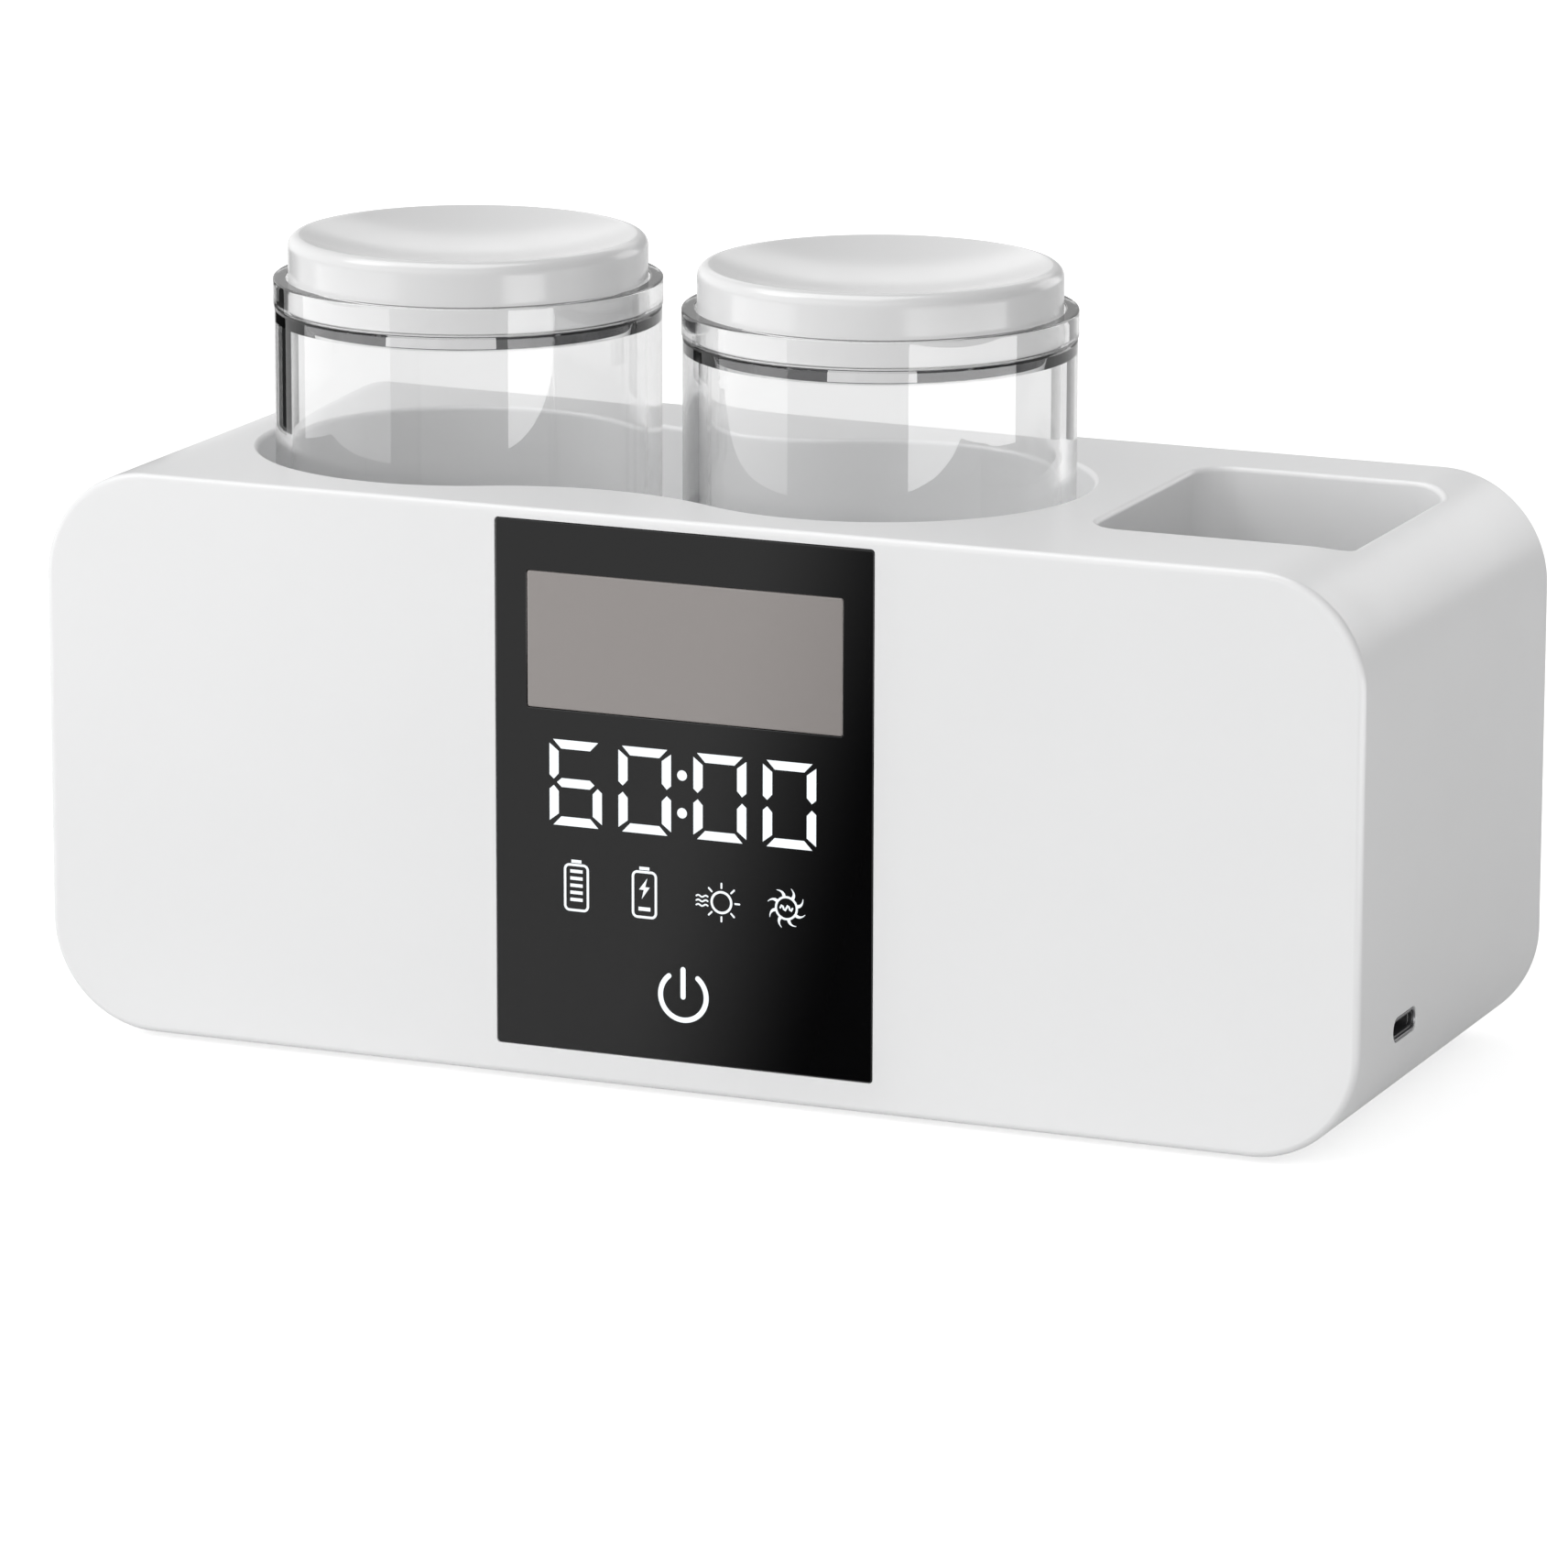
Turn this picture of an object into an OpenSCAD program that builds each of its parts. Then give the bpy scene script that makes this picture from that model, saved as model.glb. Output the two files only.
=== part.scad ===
// Cordless twin-jar bottle warmer with warm-air drying and a UV lamp.
// Units are millimetres. X runs left to right, Y front to back, Z up.
// The origin is the middle of the footprint, on the surface that the feet stand on.

/* [Body] */
// Width of the body, left to right
body_w = 220; // [218:1:226]
// Height of the body without its feet
body_h = 90.5; // [89:0.5:94]
// Depth of the body, front to back
body_d = 88; // [87:1:92]
// Radius of the four long corners, seen from the front
corner_r = 17.5; // [16:0.5:19]
// Small rounding of the front and back edges
edge_r = 1.2; // [0.8:0.1:1.6]
// Wall thickness of the outer shell
wall = 2.4; // [2.2:0.1:2.6]
// Height that the rubber feet stand proud
foot_h = 1; // [1:0.25:2]

/* [Well and jars] */
// Left jar axis, from the middle of the body
left_x = -56.2; // [-57:0.1:-56]
// Right jar axis, from the middle of the body
right_x = 14.5; // [14:0.1:15]
// Both jar axes, front to back
well_y = -1; // [-1.5:0.1:-0.5]
// Radius of the two round ends of the well
well_r = 33.6; // [33.2:0.1:34]
// Half width of the waist between the two round ends
waist_half = 24.8; // [24:0.1:26]
// Flare of the well's upper edge
well_flare = 0.9; // [0.5:0.1:1.2]
// Depth of the well below the top of the body
well_depth = 54; // [52:1:55]
// How far the jars stand above the top of the body
jar_above = 27.2; // [26:0.1:29]
// Outer radius of the rim band of a jar
jar_rim_r = 31; // [30.5:0.1:31.2]
// Step from the rim band in to the jar's wall
jar_step = 0.35; // [0.2:0.05:0.5]
// Wall thickness of a jar
jar_wall = 2.4; // [2:0.1:2.8]
// Height of a lid above its jar's rim
lid_above = 6.8; // [6:0.1:8]
// Depth of the dish in a lid
lid_dish = 4.6; // [3:0.1:5]

/* [Pocket] */
// Width of the pocket, left to right
pocket_w = 41; // [38:0.5:42]
// Depth of the pocket's mouth, front to back
pocket_l = 52.4; // [48:0.2:53]
// Middle of the pocket, left to right
pocket_x = 77.8; // [77:0.1:78.5]
// Middle of the pocket, front to back
pocket_y = 3.6; // [2:0.1:4]
// Radius of the pocket's upright corners
pocket_r = 6; // [4:0.5:8]
// How deep the pocket is
pocket_depth = 38; // [34:1:39]

/* [Front panel] */
// Width of the glass panel
panel_w = 63.2; // [60:0.1:64]
// Height of the glass panel
panel_h = 83.6; // [80:0.1:84]
// Middle of the panel, left to right
panel_x = -0.35; // [-0.6:0.05:0.6]
// Lower edge of the panel above the surface
panel_z = 6; // [5.5:0.1:6.5]
// Width of the status window
window_w = 52.8; // [48:0.1:54]
// Height of the status window
window_h = 21.6; // [18:0.1:22]
// Lower edge of the status window above the surface
window_z = 60.1; // [60:0.1:62]

/* [Charging port] */
// Charging port, front to back
usb_y = -22.4; // [-23:0.1:-21]
// Charging port height above the surface
usb_z = 18.4; // [18:0.1:19]

/* [Hidden] */

zb = foot_h;                     // underside of the body
zt = zb + body_h;                // top of the body
front = -body_d / 2;
back = body_d / 2;
floor_z = zb + wall;             // inside floor of the shell
ceil_z = zt - wall;              // inside ceiling of the shell
well_z = zt - well_depth;        // floor of the well
collar_z = zt - 17.5;            // lower edge of the well's moulded collar
tub_top = collar_z - 1;          // upper rim of the tub
tub_t = 1.8;                     // tub wall
pocket_z = zt - pocket_depth;    // floor of the pocket
pocket_collar_z = zt - 15.5;
blower_x = 80;
blower_y = 11;
blower_z = 27;
mid_x = (left_x + right_x) / 2;
half_x = (right_x - left_x) / 2;
cyl = 128;                       // smoothness of round parts

// Six screws hold the rear cover
cover_pts = [[-97, zt - 13], [97, zt - 13], [-97, zb + 13], [mid_x, zb + 6.6], [mid_x, zt - 8], [103.6, zb + 31]];
// Four screws hang the tub from the ceiling
tub_pts = [[left_x - 27.8, well_y - 28], [left_x - 27.8, well_y + 28], [right_x + 27.8, well_y - 28], [right_x + 27.8, well_y + 28]];
board_pts = [[-22, -34], [46, -34], [-22, 0], [46, 0]];
usb_pts = [[96.6, usb_y - 5.2], [96.6, usb_y + 5.2]];
tray_pts = [[-61.3, -38], [-61.3, 38]];
blower_pts = [[-18, -18], [18.6, 17.6]];
foot_pts = [for (x = [-82, 82], y = [-30, 30]) [x, y]];

// ---------------------------------------------------------------- helpers

function arc(cx, cy, r, a0, a1, n) = [for (i = [0 : n]) [cx + r * cos(a0 + (a1 - a0) * i / n), cy + r * sin(a0 + (a1 - a0) * i / n)]];

// Upright block with four rounded corners, centred in X and Y
module rblock(w, h, t, r) {
  linear_extrude(t) {
    square([w - 2 * r, h], center = true);
    square([w, h - 2 * r], center = true);
    for (sx = [-1, 1], sy = [-1, 1]) translate([sx * (w / 2 - r), sy * (h / 2 - r)]) circle(r = r, $fn = 96);
  }
}

// Block lying along Y, drawn from its face at y = y0 backwards
module yblock(w, h, t, r, x, z, y0) {
  translate([x, y0 + t, z]) rotate([90, 0, 0]) rblock(w, h, t, r);
}

// Slab with long corners of radius rr and small rounded face edges
module slab(w, h, d, rr, e) {
  half = concat([[0, -d / 2]], arc(rr - e, -d / 2 + e, e, -90, 0, 6), arc(rr - e, d / 2 - e, e, 0, 90, 6), [[0, d / 2]]);
  for (q = [[1, 1, 0], [-1, 1, 90], [-1, -1, 180], [1, -1, 270]])
    translate([q[0] * (w / 2 - rr), q[1] * (h / 2 - rr), 0]) rotate([0, 0, q[2]]) rotate_extrude(angle = 90, $fn = 96) polygon(half);
  for (s = [0, 180]) rotate([0, 0, s]) {
    translate([w / 2 - rr, h / 2 - rr, 0]) rotate([90, 0, 0]) linear_extrude(h - 2 * rr) polygon(half);
    translate([-w / 2 + rr, h / 2 - rr, 0]) rotate([90, 0, 90]) linear_extrude(w - 2 * rr) polygon(half);
  }
  cube([w - 2 * rr, h - 2 * rr, d], center = true);
}

// Waist blend radius for round ends of radius r and a waist of half width w
function blend_r(r, w) = (half_x * half_x + w * w - r * r) / (2 * (r - w));
function blend_y(r, w) = w + blend_r(r, w);

// Figure-8 prism: two round ends with a smooth waist, z from z0 to z0 + t. grow widens it all round.
module eight(grow, z0, t) {
  r = well_r + grow;
  rho = blend_r(well_r, waist_half) - grow;
  yb = blend_y(well_r, waist_half);
  translate([0, well_y, z0]) {
    for (x = [left_x, right_x]) translate([x, 0, 0]) cylinder(r = r, h = t, $fn = cyl);
    difference() {
      linear_extrude(t) polygon([[left_x, 0], [mid_x, yb], [right_x, 0], [mid_x, -yb]]);
      for (s = [-1, 1]) translate([mid_x, s * yb, -1]) cylinder(r = rho, h = t + 2, $fn = cyl);
    }
  }
}

// Rounded flare that the figure-8 opening has at the top of the body
module eight_flare(f) {
  rho = blend_r(well_r, waist_half);
  yb = blend_y(well_r, waist_half);
  n = 5;
  bell = concat([[0, -f]], [for (i = [0 : n]) [well_r + f - f * cos(90 * i / n), -f + f * sin(90 * i / n)]], [[well_r + f, 1], [0, 1]]);
  cone = concat([[0, -f - 1], [rho, -f - 1]], [for (i = [0 : n]) [rho - f + f * cos(90 * i / n), -f + f * sin(90 * i / n)]], [[rho - f, 2], [0, 2]]);
  translate([0, well_y, zt]) {
    for (x = [left_x, right_x]) translate([x, 0, 0]) rotate_extrude($fn = cyl) polygon(bell);
    difference() {
      translate([0, 0, -f]) linear_extrude(f + 1) polygon([[left_x, 0], [mid_x, yb], [right_x, 0], [mid_x, -yb]]);
      for (s = [-1, 1]) translate([mid_x, s * yb, 0]) rotate_extrude($fn = cyl) polygon(cone);
    }
  }
}

// Outline that keeps inner ribs and bosses inside the shell's skin
module skin_limit() {
  yblock(body_w - 1.4, body_h - 1.4, body_d - 2.4, corner_r - 0.7, 0, zb + body_h / 2, front + 0.8);
}

module stadium(w, h, t) { // lies in YZ, drawn along +X
  rotate([90, 0, 90]) linear_extrude(t) {
    square([w - h, h], center = true);
    for (s = [-1, 1]) translate([s * (w - h) / 2, 0]) circle(r = h / 2, $fn = 64);
  }
}

// Pan-head screw, head up, its neck at the origin
module screw(r, len, hr, hh) {
  difference() {
    union() {
      translate([0, 0, -len]) cylinder(r = r, h = len + 0.1, $fn = 32);
      rotate_extrude($fn = 48) polygon([[0, 0], [hr, 0], [hr, hh * 0.45], [hr * 0.86, hh * 0.8], [hr * 0.5, hh], [0, hh]]);
    }
    for (a = [0, 90]) rotate([0, 0, a]) translate([-hr * 0.55, -hr * 0.13, hh * 0.35]) cube([hr * 1.1, hr * 0.26, hh]);
  }
}

// ---------------------------------------------------------------- shell

module housing() {
  color("#e9e9ea") difference() {
    union() {
      difference() {
        translate([0, 0, zb + body_h / 2]) rotate([90, 0, 0]) slab(body_w, body_h, body_d, corner_r, edge_r);
        yblock(body_w - 2 * wall, body_h - 2 * wall, body_d, corner_r - wall, 0, zb + body_h / 2, front + wall);
      }
      intersection() {
        skin_limit();
        union() {
          // collar of the well and of the pocket
          eight(tub_t, collar_z, zt - collar_z);
          translate([pocket_x, pocket_y, pocket_collar_z]) rblock(pocket_w + 3.6, pocket_l + 3.6, zt - pocket_collar_z, pocket_r + 1.8);
          // bosses that the tub hangs from, with a web to the collar
          for (p = tub_pts) {
            translate([p[0], p[1], tub_top + 0.1]) cylinder(r = 3, h = zt - tub_top, $fn = 48);
            translate([p[0], p[1], collar_z + 4]) rotate([0, 0, atan2(well_y - p[1], (p[0] < mid_x ? left_x : right_x) - p[0])]) translate([0, -0.8, 0]) cube([5, 1.6, zt - collar_z - 4]);
          }
          // bosses for the rear cover
          for (p = cover_pts) translate([p[0], 33, p[1]]) rotate([-90, 0, 0]) cylinder(r = 3.1, h = 8.2, $fn = 48);
          for (i = [0, 2]) translate([-108, 33, cover_pts[i][1] - 0.8]) cube([11, 8.2, 1.6]);
          translate([97, 33, cover_pts[1][1] - 0.8]) cube([11, 8.2, 1.6]);
          translate([cover_pts[5][0], 33, cover_pts[5][1] - 0.8]) cube([4.8, 8.2, 1.6]);
          translate([-97.8, 33, cover_pts[0][1]]) cube([1.6, 8.2, 12]);
          translate([96.2, 33, cover_pts[1][1]]) cube([1.6, 8.2, 12]);
          translate([-97.8, 33, cover_pts[2][1] - 12]) cube([1.6, 8.2, 12]);
          translate([mid_x - 0.8, 33, zb + 1]) cube([1.6, 8.2, 6]);
          translate([mid_x - 0.8, 33, zt - 8]) cube([1.6, 8.2, 7]);
          // posts for the boards and the battery tray
          for (p = board_pts) translate([p[0], p[1], zb + 1]) cylinder(r = 2.6, h = 6, $fn = 48);
          for (p = usb_pts) translate([p[0], p[1], zb + 1]) cylinder(r = 2.4, h = usb_z - 2.65 - zb - 1, $fn = 48);
          for (p = tray_pts) translate([p[0], p[1], zb + 1]) cylinder(r = 2.8, h = 5.4, $fn = 48);
          // pegs that the display board is staked on
          for (sx = [-30.3, 30.3], z = [13, 84]) translate([panel_x + sx, front + 1.6, z]) rotate([-90, 0, 0]) cylinder(r = 1, h = 3.4, $fn = 32);
          for (sx = [-30.3, 30.3], z = [13, 84]) translate([panel_x + sx, -38.8, z]) rotate([-90, 0, 0]) cylinder(r = 1.6, h = 0.7, $fn = 32);
          for (sx = [-30.3, 30.3], z = [13, 84]) translate([panel_x + sx, front + 1.6, z]) rotate([-90, 0, 0]) cylinder(r = 1, h = 5.6, $fn = 32);
        }
      }
    }
    // well and pocket
    eight(0, collar_z - 1, 30);
    eight_flare(well_flare);
    translate([pocket_x, pocket_y, pocket_collar_z - 1]) rblock(pocket_w, pocket_l, 30, pocket_r);
    // glass panel recess, and the aperture behind it
    yblock(panel_w + 0.1, panel_h + 0.1, 2.35, 0.6, panel_x, panel_z + panel_h / 2, front - 1);
    yblock(57.3, 77, 6, 1, panel_x, 47.5, front - 1);
    // charging port
    translate([body_w / 2 - 1.2, usb_y, usb_z]) stadium(10.8, 3.8, 3);
    translate([body_w / 2 - 6, usb_y, usb_z]) stadium(9.2, 3.46, 6);
    // seats of the feet
    for (p = foot_pts) translate([p[0], p[1], zb - 1]) cylinder(r = 6.1, h = 2, $fn = 64);
    // screw pilots
    for (p = tub_pts) translate([p[0], p[1], tub_top - 1]) cylinder(r = 1.3, h = 12, $fn = 32);
    for (p = cover_pts) translate([p[0], 33.6, p[1]]) rotate([-90, 0, 0]) cylinder(r = 1.3, h = 12, $fn = 32);
    for (p = board_pts) translate([p[0], p[1], zb + 1.8]) cylinder(r = 0.95, h = 9, $fn = 32);
    for (p = usb_pts) translate([p[0], p[1], zb + 5]) cylinder(r = 0.95, h = 20, $fn = 32);
    for (p = tray_pts) translate([p[0], p[1], zb + 1.4]) cylinder(r = 0.95, h = 9, $fn = 32);
  }
}

module rear_cover() {
  color("#e4e4e5") difference() {
    union() {
      yblock(body_w - 2 * wall - 0.4, body_h - 2 * wall - 0.4, 2.2, corner_r - wall - 0.2, 0, zb + body_h / 2, back - 2.8);
      // posts that carry the blower
      for (p = blower_pts) translate([blower_x + p[0], blower_y + 16.4, blower_z - p[1]]) rotate([-90, 0, 0]) cylinder(r = 2.7, h = 41.5 - blower_y - 16.4, $fn = 48);
      // seat of the intake shroud
      translate([blower_x, back - 4.3, blower_z]) rotate([-90, 0, 0]) difference() {
        cylinder(r = 16.9, h = 1.6, $fn = 96);
        translate([0, 0, -1]) cylinder(r = 15.7, h = 2.5, $fn = 96);
      }
    }
    // intake slots
    for (i = [-3.5 : 1 : 3.5]) {
      len = 2 * sqrt(15 * 15 - 16 * i * i);
      translate([blower_x + 4 * i - 1, back - 4, blower_z - len / 2]) cube([2, 5, len]);
    }
    for (p = cover_pts) {
      translate([p[0], back - 4, p[1]]) rotate([-90, 0, 0]) cylinder(r = 1.5, h = 6, $fn = 32);
      translate([p[0], back - 2, p[1]]) rotate([-90, 0, 0]) cylinder(r = 2.7, h = 4, $fn = 48);
    }
    for (p = blower_pts) translate([blower_x + p[0], blower_y + 16, blower_z - p[1]]) rotate([-90, 0, 0]) cylinder(r = 1.2, h = 12, $fn = 32);
  }
}

module rubber_feet() {
  color("#5b5b5e") for (p = foot_pts) translate([p[0], p[1], 0]) rotate_extrude($fn = 64) polygon([[0, 0], [5.4, 0], [6, 0.5], [6, foot_h + 0.95], [0, foot_h + 0.95]]);
}

// ---------------------------------------------------------------- well

// Screw ear on the tub's outside, with a web that runs into the tub's wall
module tub_ear(p) {
  a = atan2(well_y - p[1], (p[0] < mid_x ? left_x : right_x) - p[0]);
  translate([p[0], p[1], tub_top - 2.2]) rotate([0, 0, a]) union() {
    cylinder(r = 3.4, h = 2.2, $fn = 48);
    translate([0, -2.6, 0.1]) cube([5.2, 5.2, 1.9]);
    translate([2.8, -2.6, -0.8]) cube([2.4, 5.2, 2.8]);
  }
}

module well_tub() {
  color("#d9d9da") difference() {
    union() {
      eight(tub_t, well_z - tub_t, tub_top - well_z + tub_t);
      for (p = tub_pts) tub_ear(p);
      // bosses for the heater carriers
      for (x = [left_x, right_x], s = [-1, 1]) translate([x, well_y + s * 31.2, well_z - 5.7]) cylinder(r = 2.6, h = 5, $fn = 48);
    }
    eight(0, well_z, 60);
    for (x = [left_x, right_x]) translate([x, well_y, well_z - 3]) cylinder(r = 26.1, h = 6, $fn = cyl);
    // air slots at the waist
    for (i = [-1.5 : 1 : 1.5]) translate([mid_x + 3.5 * i - 1, 11, well_z - 3]) cube([2, 9.4, 6]);
    // holes for the lamp windows
    translate([mid_x, well_y - 40, well_z + 19]) rotate([-90, 0, 0]) cylinder(r = 5.05, h = 80, $fn = 64);
    for (p = tub_pts) translate([p[0], p[1], tub_top - 4]) cylinder(r = 1.5, h = 6, $fn = 32);
    for (x = [left_x, right_x], s = [-1, 1]) translate([x, well_y + s * 31.2, well_z - 6]) cylinder(r = 0.95, h = 5, $fn = 32);
  }
}

module well_gasket() {
  color("#cfcfd1") difference() {
    eight(tub_t - 0.2, tub_top, 1);
    eight(0.2, tub_top - 1, 3);
  }
}

module pocket_cup() {
  lip = 3;
  color("#dfdfe0") difference() {
    union() {
      translate([pocket_x, pocket_y, pocket_z - 1.8]) rblock(pocket_w + 3.6, pocket_l + 3.6, pocket_collar_z - pocket_z + 1.8, pocket_r + 1.8);
      translate([pocket_x, pocket_y, pocket_collar_z - 2]) rblock(pocket_w + 6, pocket_l + 6, lip + 2, pocket_r + 3);
    }
    translate([pocket_x, pocket_y, pocket_z]) rblock(pocket_w, pocket_l, 40, pocket_r);
    translate([pocket_x, pocket_y, pocket_collar_z]) rblock(pocket_w + 3.8, pocket_l + 3.8, 40, pocket_r + 1.9);
  }
}

// ---------------------------------------------------------------- front panel

module panel_glass() {
  color("#161618") difference() {
    yblock(panel_w, panel_h, 1.25, 0.55, panel_x, panel_z + panel_h / 2, front + 0.05);
    yblock(window_w + 0.1, window_h + 0.1, 4, 0.5, panel_x + 0.1, window_z + window_h / 2, front - 1);
  }
}

module status_window() {
  color("#948f8d") yblock(window_w, window_h, 1.2, 0.45, panel_x + 0.1, window_z + window_h / 2, front + 0.1);
}

module status_lcd() {
  color("#3b3b3d") yblock(56, 24.6, 2.4, 0.8, panel_x, window_z + window_h / 2, front + 1.4);
}

module digit_display() {
  color("#101012") difference() {
    yblock(50, 18, 2.5, 0.8, panel_x, 48.6, front + 1.4);
    // reflector wells of the four digits
    for (i = [0 : 3]) yblock(7.4, 12, 1.5, 0.6, panel_x + [-18.1, -6.45, 6.2, 17.8][i], 48.6, front + 0.4);
  }
}

module icon_light_guide() {
  color("#e8eef0") difference() {
    yblock(44, 11, 2.5, 0.8, panel_x, 32.3, front + 1.4);
    for (i = [-1 : 1]) yblock(1, 9, 1.6, 0.4, panel_x + i * 11, 32.3, front + 2.4);
  }
}

module touch_electrode() {
  color("#2c2c2e") translate([panel_x, front + 1.4, 17.6]) rotate([-90, 0, 0]) difference() {
    cylinder(r = 6, h = 2.5, $fn = 64);
    translate([0, 0, -1]) cylinder(r = 3, h = 5, $fn = 48);
  }
}

module display_board() {
  color("#1f5c3a") difference() {
    yblock(64, 78.6, 1, 1, panel_x, 47.9, front + 4.1);
    for (sx = [-30.3, 30.3], z = [13, 84]) translate([panel_x + sx, front + 2, z]) rotate([-90, 0, 0]) cylinder(r = 1.15, h = 6, $fn = 32);
  }
}

// ---------------------------------------------------------------- heating

module both_wells() { for (x = [left_x, right_x]) translate([x, well_y, 0]) children(); }

module heater_plates() {
  color("#b9babd") both_wells() translate([0, 0, well_z - 2]) cylinder(r = 26, h = 2, $fn = cyl);
}

module film_heaters() {
  color("#b9722a") both_wells() translate([0, 0, well_z - 2.35]) difference() {
    cylinder(r = 25, h = 0.3, $fn = cyl);
    translate([0, 0, -1]) cylinder(r = 3, h = 2, $fn = 48);
  }
}

module insulation_pads() {
  color("#ececec") both_wells() translate([0, 0, well_z - 5.7]) difference() {
    cylinder(r = 25, h = 3.3, $fn = cyl);
    translate([0, 0, -1]) cylinder(r = 3, h = 6, $fn = 48);
  }
}

module heater_carriers() {
  color("#c9c9cb") both_wells() translate([0, 0, well_z - 7.8]) difference() {
    union() {
      cylinder(r = 28, h = 2, $fn = cyl);
      for (s = [-1, 1]) {
        translate([0, s * 31.2, 0]) cylinder(r = 3.2, h = 2, $fn = 48);
        translate([-3.2, s > 0 ? 20 : -31.2, 0]) cube([6.4, 11.2, 2]);
      }
    }
    translate([0, 0, -1]) cylinder(r = 12, h = 4, $fn = 96);
    for (a = [0 : 60 : 300]) rotate([0, 0, a]) translate([19.5, 0, -1]) cylinder(r = 3.5, h = 4, $fn = 48);
    for (s = [-1, 1]) translate([0, s * 31.2, -1]) cylinder(r = 1.15, h = 4, $fn = 32);
  }
}

module thermistors() {
  color("#2a2a2a") both_wells() translate([0, 0, well_z - 7]) {
    cylinder(r = 2, h = 4.9, $fn = 48);
    translate([0, 0, -1.5]) cylinder(r = 1.2, h = 1.6, $fn = 32);
  }
}

module uv_windows() {
  color("#cfe3f2") for (s = [-1, 1]) translate([mid_x, well_y + s * (waist_half + 1.05), well_z + 19]) rotate([-90, 0, 0]) translate([0, 0, -0.75]) cylinder(r = 5, h = 1.5, $fn = 64);
}

module uv_lamp_boards() {
  color("#e6e6e0") for (s = [-1, 1]) translate([mid_x, well_y, well_z + 19]) scale([1, s, 1]) {
    translate([-7, waist_half + 3.6, -7]) cube([14, 1, 14]);
    translate([-1.8, waist_half + 2.4, -1.8]) cube([3.6, 1.3, 3.6]);
  }
}

// ---------------------------------------------------------------- warm air

module air_duct() {
  color("#3a3a3d") difference() {
    union() {
      translate([-30, 9.2, 4.8]) cube([86, 19.6, 18.4]);
      translate([-29.6, 9.2, 20]) cube([17.4, 13.2, well_z - tub_t - 0.1 - 20]);
    }
    translate([-28.6, 10.6, 6.2]) cube([90, 16.8, 15.6]);
    translate([-28.2, 10.6, 15]) cube([14.6, 10.4, 30]);
  }
}

module ptc_heater() {
  color("#a9aaad") {
    for (z = [6.6, 13.2, 19.8]) translate([34, 11, z]) cube([12, 16, 1.6]);
    for (i = [0 : 12]) translate([34.2, 11.3 + i * 1.26, 6.8]) cube([11.6, 0.3, 14.4]);
  }
}

module at_blower() { translate([blower_x, blower_y, blower_z]) rotate([-90, 0, 0]) children(); }

module blower_outline(r, out, t) {
  cylinder(r = r, h = t, $fn = cyl);
  translate([-30, 20.3 - 14.8 + out, 0]) cube([31, 14.8 - 2 * out, t]);
}

module blower_ears(t) {
  for (p = blower_pts) {
    translate([p[0], p[1], 0]) cylinder(r = 3, h = t, $fn = 48);
    translate([p[0], p[1], 0]) rotate([0, 0, atan2(-p[1], -p[0])]) translate([0, -1.6, 0.2]) cube([5.7, 3.2, t - 0.4]);
  }
}

module blower_case() {
  color("#232325") at_blower() difference() {
    union() {
      difference() {
        blower_outline(20.5, 0, 15);
        translate([0, 0, 1.2]) { cylinder(r = 19.3, h = 20, $fn = cyl); translate([-31, 6.7, 0]) cube([32, 12.4, 20]); }
      }
      blower_ears(15);
      translate([0, 0, 0.6]) cylinder(r = 2.8, h = 7.4, $fn = 48);
    }
    translate([0, 0, 1.2]) cylinder(r = 2.05, h = 20, $fn = 48);
    for (p = blower_pts) translate([p[0], p[1], -1]) cylinder(r = 1.3, h = 20, $fn = 32);
  }
}

module blower_lid() {
  color("#2b2b2e") at_blower() translate([0, 0, 15.05]) difference() {
    union() { blower_outline(20.5, 0, 1.2); blower_ears(1.2); }
    translate([0, 0, -1]) cylinder(r = 12, h = 4, $fn = cyl);
    for (p = blower_pts) translate([p[0], p[1], -1]) cylinder(r = 1.3, h = 20, $fn = 32);
  }
}

module impeller() {
  blades = 20;
  color("#46464a") at_blower() {
    difference() {
      union() {
        translate([0, 0, 2.4]) cylinder(r = 10.2, h = 9, $fn = cyl);
        translate([0, 0, 2.4]) cylinder(r = 16.5, h = 1, $fn = cyl);
        for (i = [0 : blades - 1]) rotate([0, 0, i * 360 / blades]) translate([11.8, 0, 3.2]) rotate([0, 0, 32]) translate([0, -0.4, 0]) cube([5, 0.8, 9.6]);
      }
      translate([0, 0, 1]) cylinder(r = 9.3, h = 9.2, $fn = cyl);
      translate([0, 0, 1]) cylinder(r = 1.02, h = 20, $fn = 32);
    }
  }
}

module rotor_magnet() {
  color("#6b6b70") at_blower() translate([0, 0, 2.6]) difference() {
    cylinder(r = 9.25, h = 6.6, $fn = cyl);
    translate([0, 0, -1]) cylinder(r = 8.5, h = 10, $fn = cyl);
  }
}

module fan_shaft() {
  color("#c8c9cc") at_blower() translate([0, 0, 1.9]) cylinder(r = 1, h = 9.8, $fn = 32);
}

module fan_bearing() {
  color("#a07a3c") at_blower() translate([0, 0, 1.9]) difference() {
    cylinder(r = 2, h = 6, $fn = 48);
    translate([0, 0, -1]) cylinder(r = 1.05, h = 10, $fn = 32);
  }
}

module motor_stator() {
  color("#b87333") at_blower() translate([0, 0, 2.4]) difference() {
    cylinder(r = 8, h = 5, $fn = 96);
    translate([0, 0, -1]) cylinder(r = 2.9, h = 10, $fn = 48);
    for (a = [0 : 60 : 300]) rotate([0, 0, a + 30]) translate([4.4, -0.7, -1]) cube([6, 1.4, 10]);
  }
}

module intake_shroud() {
  color("#3a3a3d") translate([blower_x, blower_y + 16.4, blower_z]) rotate([-90, 0, 0]) difference() {
    cylinder(r = 18.2, h = back - 2.9 - blower_y - 16.4, $fn = cyl);
    translate([0, 0, -1]) cylinder(r = 17, h = 30, $fn = cyl);
  }
}

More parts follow.
